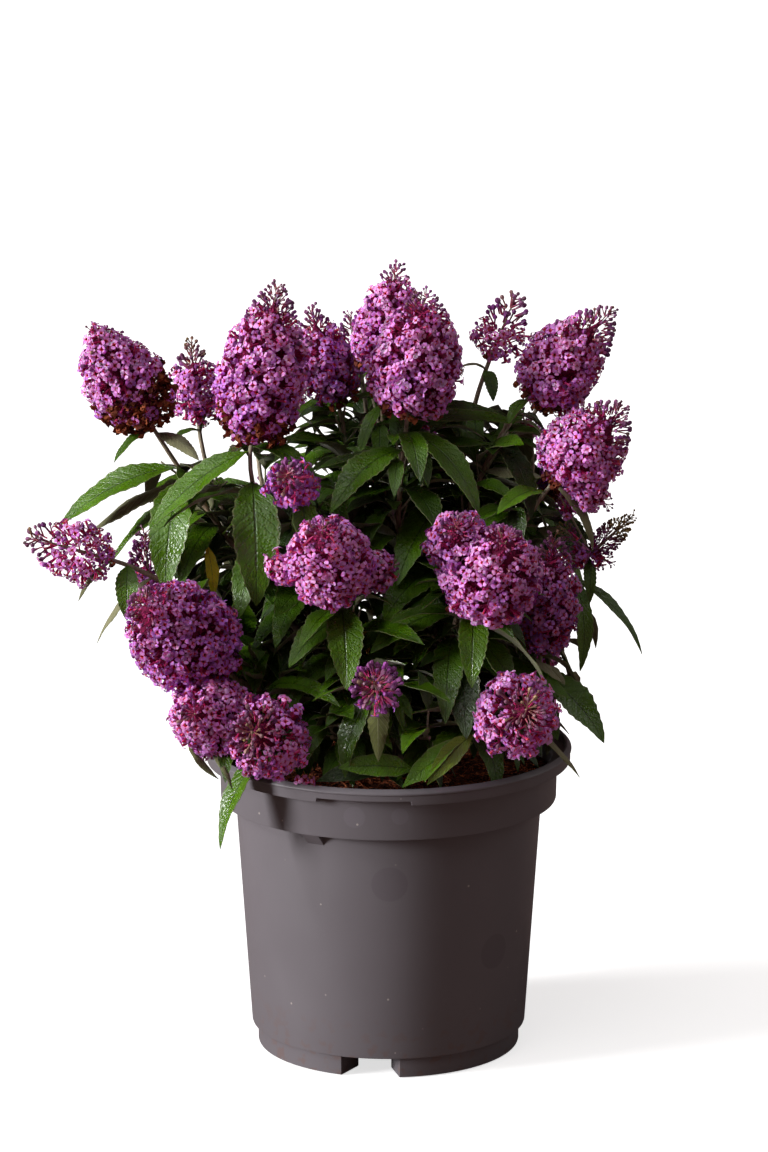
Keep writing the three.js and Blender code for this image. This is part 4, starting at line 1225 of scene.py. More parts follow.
class Finish:
    """A material under construction, with its shader and its object coordinates."""

    effects = {}

    def __init__(self, name, **fixed):
        self.material = bpy.data.materials.new(name)
        self.material.use_nodes = True
        self.tree = self.material.node_tree
        self.shader = self.tree.nodes["Principled BSDF"]
        for key, value in fixed.items():
            self.shader.inputs[key.replace("_", " ")].default_value = value
        coordinates = put(self.tree, "TexCoord")
        self.place = coordinates.outputs["Object"]
        self.map = coordinates.outputs["UV"]

    def effect(self, name, **inputs):
        """One of the shared node groups, with this finish's own values."""
        makers = {"Mottle": mottle_group, "Leaf veins": veins_group, "Bark furrows": furrow_group}
        if name not in Finish.effects:
            Finish.effects[name] = makers[name]()
        return put(self.tree, "Group", inputs, node_tree=Finish.effects[name]).outputs

    def mottle(self, scale, amount, detail=3.0):
        inputs = {"Place": self.place, "Scale": scale, "Amount": amount, "Detail": detail}
        return self.effect("Mottle", **inputs)[0]

    def shaded(self, colour, factor):
        """A colour made darker or brighter by a factor."""
        shade = put(self.tree, "CombineXYZ", {0: factor, 1: factor, 2: factor})
        return blend(self.tree, 1.0, colour, shade.outputs[0], "MULTIPLY")

    def mottled(self, colour, scale, amount, detail=3.0):
        return self.shaded(colour, self.mottle(scale, amount, detail))

    def lit(self, colour, name, low, high):
        """A colour made darker or brighter by an attribute, from low to high."""
        factor = ease(self.tree, attribute(self.tree, name), 0.0, 1.0, low, high)
        return self.shaded(colour, factor)

    def toned(self, old, young, turned):
        """A leaf's colour from its tone, where over 1 it has begun to turn."""
        tone = attribute(self.tree, "tone")
        colour = blend(self.tree, ease(self.tree, tone, 0.0, 1.0), old, young)
        return blend(self.tree, ease(self.tree, tone, 1.0, 1.3), colour, turned)

    def feed(self, **sockets):
        for key, socket in sockets.items():
            self.tree.links.new(socket, self.shader.inputs[key.replace("_", " ")])

    def bump(self, height, strength, distance):
        node = put(self.tree, "Bump", {"Height": height, "Strength": strength, "Distance": distance})
        self.feed(Normal=node.outputs[0])


def plastic_finish(pot):
    finish = Finish("Pot plastic", Roughness=0.5)
    tree = finish.tree
    colour = finish.mottled(pot.plastic, 9.0, 0.07)
    for *middle, radius, shade in MOULDING_MARKS:
        away = put(tree, "VectorMath", {0: finish.place, 1: middle}, operation="DISTANCE")
        inside = ease(tree, away.outputs["Value"], radius - 0.0008, radius, 0.55, 0.0)
        colour = blend(tree, inside, colour, getattr(pot, shade))
    # Pale specks: dust, and painted highlights on small water droplets.
    specks = put(tree, "TexVoronoi", {"Vector": finish.place, "Scale": 95.0})
    near = ease(tree, specks.outputs["Distance"], 0.04, 0.085, 1.0, 0.0)
    few = put(tree, "TexNoise", {"Vector": finish.place, "Scale": 23.0, "Detail": 1.0})
    dust_and_droplet_glints = times(tree, near, ease(tree, few.outputs["Fac"], 0.53, 0.6))
    colour = blend(tree, dust_and_droplet_glints, colour, paint(176, 168, 163))
    height = put(tree, "SeparateXYZ", {0: finish.place}).outputs[2]
    grime = finish.mottle(130.0, 1.0, 2.0)
    low = times(tree, ease(tree, height, 0.004, 0.05, 0.3, 0.0), ease(tree, grime, 1.1, 1.8))
    finish.feed(Base_Color=blend(tree, low, colour, paint(116, 78, 60)))
    finish.feed(Roughness=times(tree, finish.mottle(30.0, 0.14, 4.0), 0.48))
    grain = put(tree, "TexNoise", {"Vector": finish.place, "Scale": 900.0, "Detail": 2.0})
    finish.bump(grain.outputs["Fac"], 0.12, 0.0003)
    return finish.material


def coir_finish(name, light, dark):
    finish = Finish(name, Roughness=0.95, Specular_IOR_Level=0.2)
    tree = finish.tree
    bits = put(tree, "TexVoronoi", {"Vector": finish.place, "Scale": 330.0})
    depth = ease(tree, bits.outputs["Distance"], 0.1, 0.6, 1.0, 0.0)
    colour = blend(tree, depth, dark, light)
    finish.feed(Base_Color=finish.mottled(colour, 120.0, 0.45, 4.0))
    finish.bump(bits.outputs["Distance"], 0.9, 0.0016)
    return finish.material


def bark_finish(wood):
    finish = Finish("Bark", Roughness=0.85, Specular_IOR_Level=0.25)
    ridge = finish.effect("Bark furrows", Place=finish.place, Scale=1.0)[0]
    colour = finish.mottled(wood.bark, 70.0, 0.3)
    finish.feed(Base_Color=blend(finish.tree, ridge, wood.furrow, colour))
    finish.bump(ridge, 0.8, 0.0006)
    return finish.material


def stem_finish(wood):
    finish = Finish("Young stem", Roughness=0.7)
    ridge = finish.effect("Bark furrows", Place=finish.place, Scale=2.2)[0]
    colour = blend(finish.tree, attribute(finish.tree, "tone"), wood.bark, wood.young)
    felted = ease(finish.tree, attribute(finish.tree, "felted"), 0.0, 1.0)
    colour = blend(finish.tree, felted, colour, wood.felted)
    finish.feed(Base_Color=finish.shaded(colour, ease(finish.tree, ridge, 0.0, 1.0, 0.72, 1.1)))
    finish.bump(ridge, 0.4, 0.0003)
    return finish.material


# Light passes through the thin blades of leaves and petals.
def thin(weight, radius, scale):
    keys = ("Subsurface_Weight", "Subsurface_Radius", "Subsurface_Scale")
    return dict(zip(keys, (weight, radius, scale)))


THIN_LEAF = thin(0.3, (0.6, 1.0, 0.2), 0.0012)
THIN_PETAL = thin(1.0, (1.0, 0.7, 0.9), 0.003)


def leaf_finish(leaves):
    finish = Finish("Leaf upper side", Roughness=0.3, Specular_IOR_Level=0.68, **THIN_LEAF)
    tree = finish.tree
    veins = finish.effect("Leaf veins", Map=finish.map)
    colour = finish.toned(leaves.dark, leaves.fresh, leaves.yellow)
    colour = finish.mottled(colour, 60.0, 0.22)
    # Veins painted darker: painted shade in their grooves, besides the bump.
    colour = blend(tree, times(tree, veins["Side veins"], 0.25), colour, leaves.vein)
    colour = blend(tree, times(tree, veins["Midrib"], 0.6), colour, leaves.vein)
    across_leaf = put(tree, "SeparateXYZ", {0: finish.map}).outputs[1]
    off_midrib = sums(tree, "ABSOLUTE", sums(tree, "SUBTRACT", across_leaf, 0.5))
    edge = ease(tree, off_midrib, 0.455, 0.49, 0.0, 0.4)
    finish.feed(Base_Color=blend(tree, edge, colour, leaves.felt))
    finish.feed(Roughness=times(tree, finish.mottle(70.0, 0.5, 4.0), 0.34))
    sunk = times(tree, veins["Midrib"], -1.4)
    sunk = sums(tree, "ADD", sunk, times(tree, veins["Side veins"], -0.5))
    finish.bump(sums(tree, "ADD", sunk, veins["Quilting"]), 0.6, 0.0004)
    return finish.material


def felt_finish(leaves):
    finish = Finish("Leaf underside", Roughness=0.9, Specular_IOR_Level=0.15, Sheen_Weight=0.25)
    tree = finish.tree
    veins = finish.effect("Leaf veins", Map=finish.map)
    colour = finish.toned(leaves.felt_dark, leaves.felt, leaves.yellow)
    colour = finish.mottled(colour, 90.0, 0.18)
    raised = sums(tree, "MAXIMUM", veins["Midrib"], times(tree, veins["Side veins"], 0.6))
    finish.feed(Base_Color=blend(tree, times(tree, raised, 0.5), colour, leaves.felt))
    finish.bump(raised, 0.7, 0.0007)
    return finish.material


def petal_finish(blooms):
    finish = Finish("Petals", Roughness=0.5, Specular_IOR_Level=0.35, **THIN_PETAL)
    tree = finish.tree
    parts = put(tree, "SeparateXYZ", {0: finish.map})
    out_from, depth = parts.outputs[0], parts.outputs[1]
    colour = blend(tree, attribute(tree, "age"), blooms.pink, blooms.lilac)
    # A floret's glow: its own tone at random, and painted shade on spikes in shade and on the inner
    # layer.
    colour = finish.lit(colour, "glow", 0.64, 1.2)
    colour = blend(tree, ease(tree, out_from, 0.3, 0.62, 0.85, 0.0), colour, blooms.throat)
    colour = blend(tree, ease(tree, out_from, 0.24, 0.4, 0.8, 0.0), colour, blooms.eye)
    colour = blend(tree, ease(tree, depth, 0.04, 0.2), colour, blooms.deep)
    finish.feed(Base_Color=colour)
    return finish.material


def bud_finish(blooms):
    finish = Finish("Buds", Roughness=0.5, Specular_IOR_Level=0.4)
    tree = finish.tree
    rise = put(tree, "SeparateXYZ", {0: finish.map}).outputs[1]
    colour = blend(tree, ease(tree, rise, 0.1, 0.75), blooms.deep, blooms.bud)
    colour = blend(tree, attribute(tree, "hue"), colour, blooms.bud_green)
    finish.feed(Base_Color=finish.lit(colour, "glow", 0.55, 1.35))
    return finish.material


def core_finish(blooms):
    finish = Finish("Spike core", Roughness=0.8, Specular_IOR_Level=0.15)
    tree = finish.tree
    cells = put(tree, "TexVoronoi", {"Vector": finish.place, "Scale": 520.0})
    # Raised cell middles take the deep magenta and sunken edges the dark core colour: painted
    # highlights and shade on the crowded tubes, with the bump.
    high = ease(tree, cells.outputs["Distance"], 0.15, 0.6, 1.0, 0.0)
    colour = finish.mottled(blend(tree, high, blooms.core, blooms.deep), 260.0, 0.35)
    finish.feed(Base_Color=colour)
    finish.bump(high, 0.9, 0.0015)
    return finish.material


def withered_finish(blooms):
    finish = Finish("Withered florets", Roughness=0.8, Specular_IOR_Level=0.2)
    tree = finish.tree
    colour = blend(tree, attribute(tree, "glow"), blooms.withered_dark, blooms.withered)
    finish.feed(Base_Color=colour)
    return finish.material


# Faint discs that the moulding pins left: x, y, z, radius and colour.
MOULDING_MARKS = [
    (0.0006, -0.0905, 0.1265, 0.0115, "plastic_mark"),
    (0.0645, -0.0612, 0.0745, 0.0115, "plastic_mark"),
    (-0.0205, -0.1016, 0.1712, 0.007, "plastic_shine"),
    (0.0068, -0.1036, 0.1722, 0.0055, "plastic_shine"),
]


# Florets that have dropped on the rim: place, and the bearing and rise that they face.
FALLEN_FLORETS = [
    ((-50, -99, 193.6), 20, 20),
    ((-45, -101.5, 193.4), 70, 15),
    ((-54.5, -97.2, 193.2), -40, 10),
]
FALLEN_WIDTH = 6.2
FALLEN_LOOK = (0.35, 0.1)  # glow and age


# ---- Pieces ----


def soften(profile):
    """Each corner (radius, height, softness) drawn as a small arc of three points."""
    drawn = []
    for i, (radius, height, soft) in enumerate(profile):
        here = Vector((radius, height))
        if not soft:
            drawn.append(here)
            continue
        before, after = (Vector(profile[i + step][:2]) - here for step in (-1, 1))
        a = here + before.normalized() * min(soft, before.length * 0.4)
        b = here + after.normalized() * min(soft, after.length * 0.4)
        drawn += [a, here.lerp((a + b) / 2, 0.5), b]
    return drawn


def bearing_of(co):
    return math.degrees(math.atan2(co.x, -co.y))


def in_third(bearing, start, end):
    """Whether a bearing lies in one of the three stretches that begin and end here."""
    return 0 < (bearing - math.degrees(start)) % 120 < math.degrees(end - start)


# How far the pot's corners are rounded, in metres.
CRISP = 0.0002
RIM_SOFT = 0.0005
SOFT = 0.0006
BEAD_SOFT = 0.0007
ROUND = 0.0008
FLOOR_SOFT = 0.001
BEAD_FOOT = 0.001  # under the rim's bevel
GROOVE_TOP = 0.0014
COLUMN_GAP = 0.2  # degrees from a step to the columns drawn up to it
NOTCH_MARGIN = 0.005  # how far a notch's cutter passes the foot


class BUSH_OT_pot(bpy.types.Operator):
    """Turn the nursery pot and cut its drain notches"""

    bl_idname = "bush.pot"
    bl_label = "Nursery pot"

    def execute(self, context):
        pot = context.scene.bush_pot
        slope = (pot.body_top_radius - pot.body_foot_radius) / (pot.collar_underside - pot.foot_height)
        gusset_foot = pot.collar_underside - pot.gusset_drop
        at_gusset = pot.body_foot_radius + slope * (gusset_foot - pot.foot_height)
        bevel = pot.rim_height - pot.rim_bevel
        draft, wall = pot.draft, pot.wall
        profile = [
            (pot.pad_radius, 0, 0),
            (pot.pad_radius + draft, pot.foot_height, SOFT),
            (pot.foot_inner_radius, pot.foot_height, SOFT),
            (pot.foot_inner_radius, 0, SOFT),
            (pot.foot_radius, 0, ROUND),
            (pot.foot_radius, pot.foot_height, SOFT),
            (pot.body_foot_radius, pot.foot_height + draft, ROUND),
            (at_gusset, gusset_foot, 0),
            *self.gusset_rows(pot, at_gusset, gusset_foot),
            (pot.body_top_radius, pot.collar_underside, SOFT),
            (pot.collar_radius, pot.collar_underside, ROUND),
            (pot.collar_radius + draft, pot.lip_underside, SOFT),
            (pot.rim_radius - pot.groove, pot.lip_underside, SOFT),
            (pot.rim_radius - pot.groove, bevel - GROOVE_TOP, CRISP),
            (pot.rim_radius, bevel - BEAD_FOOT, CRISP),
            (pot.rim_radius, bevel, BEAD_SOFT),
            (pot.rim_radius - pot.rim_bevel, pot.rim_height, RIM_SOFT),
            (pot.rim_radius - pot.rim_wall, pot.rim_height - draft, RIM_SOFT),
            (pot.rim_radius - pot.rim_wall, pot.lip_shoulder + draft, SOFT),
            (pot.collar_radius - wall, pot.lip_shoulder, SOFT),
            (pot.collar_radius - wall, pot.collar_underside + wall + draft, SOFT),
            (pot.body_top_radius - wall, pot.collar_underside + wall, SOFT),
            (pot.body_foot_radius - wall, pot.foot_height + wall, FLOOR_SOFT),
            (pot.pad_radius, pot.foot_height + wall, 0),
        ]
        piece = ring(pot.columns, pot.pad_radius)
        self.gather_columns(pot, piece)
        before, *rest = soften(profile)
        for point in rest:
            scale = point.x / before.x
            extrude((0, 0, point.y - before.y), (scale, scale, 1), (0, 0, point.y))
            before = point
        close_ring()
        pick(lambda middle: middle.z < 1e-6 and middle.length < pot.pad_radius * 1.01, "edges")
        close_ring()
        self.shape_lip(pot, piece)
        bpy.ops.mesh.select_all(action="SELECT")
        bpy.ops.mesh.remove_doubles(threshold=1e-6)
        bpy.ops.mesh.normals_make_consistent(inside=False)
        bpy.ops.object.mode_set(mode="OBJECT")
        for third in range(3):
            self.cut_notch(pot, piece, pot.notch_bearing + math.radians(120 * third))
        piece.data.materials.append(plastic_finish(pot))
        finish_piece(piece, "nursery_pot", "pot", ["pot"], 32)
        return {"FINISHED"}

    def gusset_rows(self, pot, foot_radius, foot):
        """Rows of the wall that a gusset swells out from."""
        return [
            (lerp(foot_radius, pot.body_top_radius, k), lerp(foot, pot.collar_underside, k), 0)
            for k in (0.2, 0.4, 0.6, 0.8)
        ]

    def gather_columns(self, pot, piece):
        """Draws the nearest columns up close to where the lip or a gusset steps."""
        mesh = bmesh.from_edit_mesh(piece.data)
        mesh.verts.ensure_lookup_table()
        for edge in (pot.relief_from, pot.relief_to, pot.gusset_from, pot.gusset_to):
            for third in range(3):
                step = math.degrees(edge) + 120 * third
                off = lambda vert: (bearing_of(vert.co) - step + 180) % 360 - 180
                for side in (-1, 1):
                    beside = [vert for vert in mesh.verts if off(vert) * side > 0]
                    vert = min(beside, key=lambda vert: abs(off(vert)))
                    vert.co = Vector(heading(step + COLUMN_GAP * side, 0) * vert.co.length)
        bmesh.update_edit_mesh(piece.data)

    def shape_lip(self, pot, piece):
        """Raises the lip's underside in its reliefs and draws the gussets out to the collar."""
        mesh = bmesh.from_edit_mesh(piece.data)
        for vert in mesh.verts:
            radius, bearing = math.hypot(vert.co.x, vert.co.y), bearing_of(vert.co)
            outside = radius > pot.collar_radius + 0.2 * pot.draft
            if outside and abs(vert.co.z - pot.lip_underside) < 0.001:
                if in_third(bearing, pot.relief_from, pot.relief_to):
                    vert.co.z += pot.lip_relief
            down = (pot.collar_underside - vert.co.z) / pot.gusset_drop
            on_wall = -0.1 < down < 1 and abs(radius - pot.body_top_radius) < 0.0012
            if on_wall and in_third(bearing, pot.gusset_from, pot.gusset_to):
                reach = lerp(pot.collar_radius - 0.0009, radius, max(down, 0) ** 0.75)
                vert.co.x *= reach / radius
                vert.co.y *= reach / radius
                if down < 0.1:
                    vert.co.z = pot.collar_underside
        bmesh.update_edit_mesh(piece.data)

    def cut_notch(self, pot, piece, bearing):
        """Cuts a drain notch, wider outside than inside, through the foot."""
        put_down()
        bpy.ops.mesh.primitive_cube_add(size=2, location=(0, 0, 0))
        cutter = bpy.context.object
        near, far = pot.foot_inner_radius - NOTCH_MARGIN, pot.foot_radius + NOTCH_MARGIN
        widen = pot.notch_outer_width - pot.notch_inner_width
        widen /= pot.foot_radius - pot.foot_inner_radius
        bearing = math.degrees(bearing)
        out, side = Vector(heading(bearing, 0)), Vector(heading(bearing + 90, 0))
        for vert in cutter.data.vertices:
            reach = far if vert.co.y > 0 else near
            half = (pot.notch_inner_width + widen * (reach - pot.foot_inner_radius)) / 2
            top = pot.foot_height - pot.draft if vert.co.z > 0 else -NOTCH_MARGIN
            vert.co = out * reach - side * half * vert.co.x + Vector((0, 0, top))
        cut = piece.modifiers.new("Notch", "BOOLEAN")
        cut.operation = "DIFFERENCE"
        cut.object = cutter
        bpy.context.view_layer.objects.active = piece
        bpy.ops.object.modifier_apply(modifier=cut.name)
        bpy.data.objects.remove(cutter)


BED_RINGS = 44
BED_COLUMNS = 120
BED_GAP = 0.0004  # from the bed's edge to the wall
BED_SKIRT = 0.008
CRUMB_REACH = 100
FIBRE_REACH = 99
FIBRE_END_REACH = 100.5
FIBRE_STEPS = 4


class BUSH_OT_substrate(bpy.types.Operator):
    """Fill the pot with coir, and strew fibres and crumbs over it"""

    bl_idname = "bush.substrate"
    bl_label = "Substrate"

    def height(self, soil, pot, x, y):
        share = math.hypot(x, y) / (pot.collar_radius - pot.wall)
        bump = noise.fractal(Vector((x, y, 0.3)) * 75, 0.8, 2.2, 4)
        fine = noise.noise(Vector((x, y, 0.7)) * 420)
        mound = lerp(soil.crown_height, soil.edge_height, share**2)
        return mound + soil.lump * (bump * 0.8 + fine * 0.35) * (1 - share**6)

    def execute(self, context):
        pot, soil = context.scene.bush_pot, context.scene.bush_soil
        finish = coir_finish("Coir", soil.coir, soil.coir_dark)
        level = lambda x, y: self.height(soil, pot, x * MM, y * MM) / MM
        draw = Draws(SOIL_SEED)
        self.lay_bed(soil, pot, finish)
        self.strew_crumbs(soil, level, draw, finish)
        self.strew_fibres(soil, level, draw)
        return {"FINISHED"}

    def lay_bed(self, soil, pot, finish):
        bed = ring(BED_COLUMNS, pot.collar_radius - pot.wall - BED_GAP)
        bpy.ops.transform.translate(value=(0, 0, soil.edge_height - BED_SKIRT))
        extrude((0, 0, BED_SKIRT))
        for inner in range(BED_RINGS - 1, 0, -1):
            scale = inner / (inner + 1)
            extrude((0, 0, 0), (scale, scale, 1))
        close_ring()
        bpy.ops.object.mode_set(mode="OBJECT")
        for vert in bed.data.vertices:
            if vert.co.z > soil.edge_height - 0.001:
                vert.co.z = self.height(soil, pot, vert.co.x, vert.co.y)
        bed.data.materials.append(finish)
        finish_piece(bed, "coir_bed", "substrate", ["substrate"])

    def strew_crumbs(self, soil, level, draw, finish):
        crumb = self.unit_crumb()
        crumbs = []
        for _ in range(soil.crumbs):
            reach, turn = CRUMB_REACH * math.sqrt(draw()), draw(0, 360)
            x, y, _ = heading(turn, 0) * reach
            across_it = 0.5 + 1.9 * draw() ** 3
            spot = (x, y, level(x, y) + 0.25 * across_it)
            facing, spin = heading(draw(0, 360), draw(20, 90)), draw(0, 6.28)
            scale = (across_it, across_it * draw(0.5, 1), across_it * draw(0.4, 0.8))
            crumbs.append((spot, facing, spin, scale))
        places = set_copies(crumb, *map(np.array, zip(*crumbs)))
        set_piece("coir_crumbs", "substrate", crumb, places, [finish], smooth=30)

    def strew_fibres(self, soil, level, draw):
        tube = unit_tube(FIBRE_STEPS, 3)
        lines, radii = [], []
        for _ in range(soil.fibres):
            reach, turn, swing = FIBRE_REACH * math.sqrt(draw()), draw(0, 360), draw(-60, 60)
            length, rise = draw(5, 22), draw(-4, 26)
            x, y, _ = heading(turn, 0) * reach
            line = [np.array([x, y, level(x, y) - 0.3])]
            way = draw(0, 360)
            for step in range(FIBRE_STEPS):
                on = heading(way + swing * step / 3, rise * (1 - step / 2)) * length / FIBRE_STEPS
                at = line[-1] + on
                at[2] = max(at[2], level(at[0], at[1]))
                line.append(at)
            if max(math.hypot(x, y) for x, y, _ in line) > FIBRE_END_REACH:
                continue
            lines.append(line)
            radii.append(np.linspace(0.22, 0.1, FIBRE_STEPS + 1) * draw(0.7, 1.6))
        places = bend_tubes(tube, np.array(lines), np.array(radii))
        finish = coir_finish("Coir fibre", soil.fibre, soil.coir)
        set_piece("coir_fibres", "substrate", tube, places, [finish])

    def unit_crumb(self):
        """A rough crumb about one unit across."""
        put_down()
        bpy.ops.mesh.primitive_ico_sphere_add(subdivisions=1, radius=1, location=(0, 0, 0))
        bpy.ops.object.mode_set(mode="EDIT")
        for shift in ((0.9, 0.2, 0.3), (-0.3, -0.9, 0.2), (0.1, 0.5, -0.8)):
            way = Vector(shift)
            pick(lambda middle: middle.dot(way) > 0.45)
            bpy.ops.transform.resize(value=(0.8, 0.7, 0.85), center_override=tuple(way * 0.4))
        return template_of(bpy.context.object)


LIMB_ROWS = 28
CROWN_OVER_FORK = 6  # of the trunk, where the boughs hide its end
CROWN_RADIUS = 0.0035
FLARE_KNEE_RADIUS = 0.0115


class BUSH_OT_limbs(bpy.types.Operator):
    """Grow the trunk from its flare to the fork, and the boughs, under furrowed bark"""

    bl_idname = "bush.limbs"
    bl_label = "Trunk and boughs"

    def execute(self, context):
        wood = context.scene.bush_wood
        tube = unit_tube(LIMB_ROWS, 16)
        shares = np.linspace(0, 1, LIMB_ROWS + 1)
        foot = context.scene.bush_soil.crown_height / MM + CLEARANCE
        fork = wood.fork_height / MM
        heights = np.linspace(foot, fork + CROWN_OVER_FORK, LIMB_ROWS + 1)
        flare_top = foot + wood.flare_height / MM
        knots = [foot, lerp(foot, flare_top, 0.4), flare_top, fork, heights[-1]]
        widths = [wood.flare_radius, FLARE_KNEE_RADIUS, wood.foot_radius, wood.top_radius]
        radii = [np.interp(heights, knots, np.array([*widths, CROWN_RADIUS]) / MM)]
        lines = [np.stack([0 * heights, 0 * heights, heights], 1)]
        for mass in MASSES:
            lines.append(FORK + (mass_root(mass)[0] - FORK) * shares[:, None])
            radii.append(lerp(wood.bough_radius, wood.bough_tip_radius, shares) / MM)
        places = bend_tubes(tube, np.array(lines), np.array(radii))
        for line, copy in zip(lines, places):
            self.furrow(wood, tube, line, copy)
        nodes = ["trunk"] + ["bough_" + mass["name"] for mass in MASSES]
        finishes = [bark_finish(wood)]
        set_piece("trunk_and_boughs", "bark", tube, places, finishes, replaced=nodes)
        return {"FINISHED"}

    def furrow(self, wood, tube, line, places):
        """Moves the places round a limb in and out, by a grain that runs along it."""
        for row, spot in zip(rows_of(tube, LIMB_ROWS), places):
            out = spot - line[row]
            reach = np.linalg.norm(out)
            if 0 < row < LIMB_ROWS and reach > 0:
                grain = noise.fractal(Vector(spot * (0.9, 0.9, 0.16)), 0.7, 2.1, 3)
                spot += out / reach * (wood.relief / MM) * grain * min(1, reach / 5)


SHOOT_ROWS = 14
TWIG_ROWS = 3
FELT_FROM = 0.55  # of a shoot's length
STALK_SHARE = 0.94  # of a spike's length
STALK_TIP_RADIUS = 0.35


class BUSH_OT_shoots(bpy.types.Operator):
    """Grow the shoots, side twigs and flower stalks on from the boughs' tips"""

    bl_idname = "bush.shoots"
    bl_label = "Shoots"

    def execute(self, context):
        wood = context.scene.bush_wood
        growth = the_growth()
        shares = np.linspace(0, 1, SHOOT_ROWS + 1)
        foot, tip = wood.stem_radius / MM, wood.stem_tip_radius / MM
        stems = []
        for mass in MASSES:
            start, fork = mass_root(mass)
            line = start + (fork - start) * shares[:, None]
            stems.append((line, lerp(foot, foot, shares), 0 * shares, 0 * shares))
        for line in growth.lines:
            felted = np.maximum(0, shares - FELT_FROM) * 1.6
            stems.append((line.point(shares), lerp(foot, tip, shares), shares**0.6, felted))
        for line, shoot in growth.spikes:
            length = shoot["spike"][0] * STALK_SHARE
            stalk = line.tip + heading(*shoot["lean"]) * (length * shares)[:, None]
            radii = lerp(tip, STALK_TIP_RADIUS, shares)
            stems.append((stalk, radii, 0 * shares + 1, 0 * shares + 0.5))
        finish = stem_finish(wood)
        self.build("shoots", unit_tube(SHOOT_ROWS, 8), stems, finish)
        shares = np.linspace(0, 1, TWIG_ROWS + 1)
        stems = []
        for root, end in growth.twigs:
            line, radii = root + (end - root) * shares[:, None], lerp(0.9, 0.6, shares)
            stems.append((line, radii, 0 * shares + 1, 0 * shares + 0.8))
        self.build("side_twigs", unit_tube(TWIG_ROWS, 5), stems, finish)
        return {"FINISHED"}

    def build(self, name, tube, stems, finish):
        """A piece of stems, each with its line, its radii, its tones and how felted it is."""
        lines, radii, tones, felted = map(np.array, zip(*stems))
        row = rows_of(tube, lines.shape[1] - 1)
        values = {"tone": tones[:, row], "felted": felted[:, row]}
        set_piece(name, "bark", tube, bend_tubes(tube, lines, radii), [finish], **values)


class BUSH_OT_leaves(bpy.types.Operator):
    """Set the leaves on the shoots and the small leaves on the side twigs"""

    bl_idname = "bush.leaves"
    bl_label = "Leaves"

    def execute(self, context):
        leaves = context.scene.bush_leaves
        growth = the_growth()
        finishes = [leaf_finish(leaves), felt_finish(leaves)]
        nodes = ["foliage_" + mass["name"] for mass in MASSES]
        self.set_leaves("leaves", growth.leaves, unit_leaf(24, 4), leaves, finishes, nodes)
        self.set_leaves("small_leaves", growth.small_leaves, unit_leaf(8, 2), leaves, finishes, ())
        return {"FINISHED"}

    def set_leaves(self, name, grown, template, leaves, finishes, nodes):
        maps = np.stack([template["co"][:, 1], template["co"][:, 0] / 2 + 0.5], 1)
        for i, part in enumerate(in_shares(template, len(grown))):
            places = bend_leaves(template, grown[part], leaves)
            tone = np.array([item[2] for item in grown[part]])
            part_name = f"{name}_{i + 1}"
            set_piece(part_name, "foliage", template, places, finishes, maps, nodes, 70, tone=tone)


SHAPE_SAMPLES = 201
# Each layer's depth in the spike, and its florets against those of the outer one.
LAYERS = ((0, 1.0), (4.5, 0.35))
CORE_ROWS = 12


class Spike:
    """A flower spike's axis, size and look, in millimetres."""

    def __init__(self, line, shoot):
        self.base, self.along = line.tip, heading(*shoot["lean"])
        self.length, self.width = shoot["spike"]
        self.look = BLOOMS[shoot["bloom"]]
        self.sides = across(self.along)

    def axis(self, share):
        return self.base + self.along * (self.length * share)

    def radius(self, share):
        return self.width / 2 * float(spike_shape(share))

    def slope(self, share):
        """How fast the spike widens at a share of its length."""
        above, below = spike_shape(min(share + 0.02, 1)), spike_shape(max(share - 0.02, 0))
        return (above - below) / 0.04


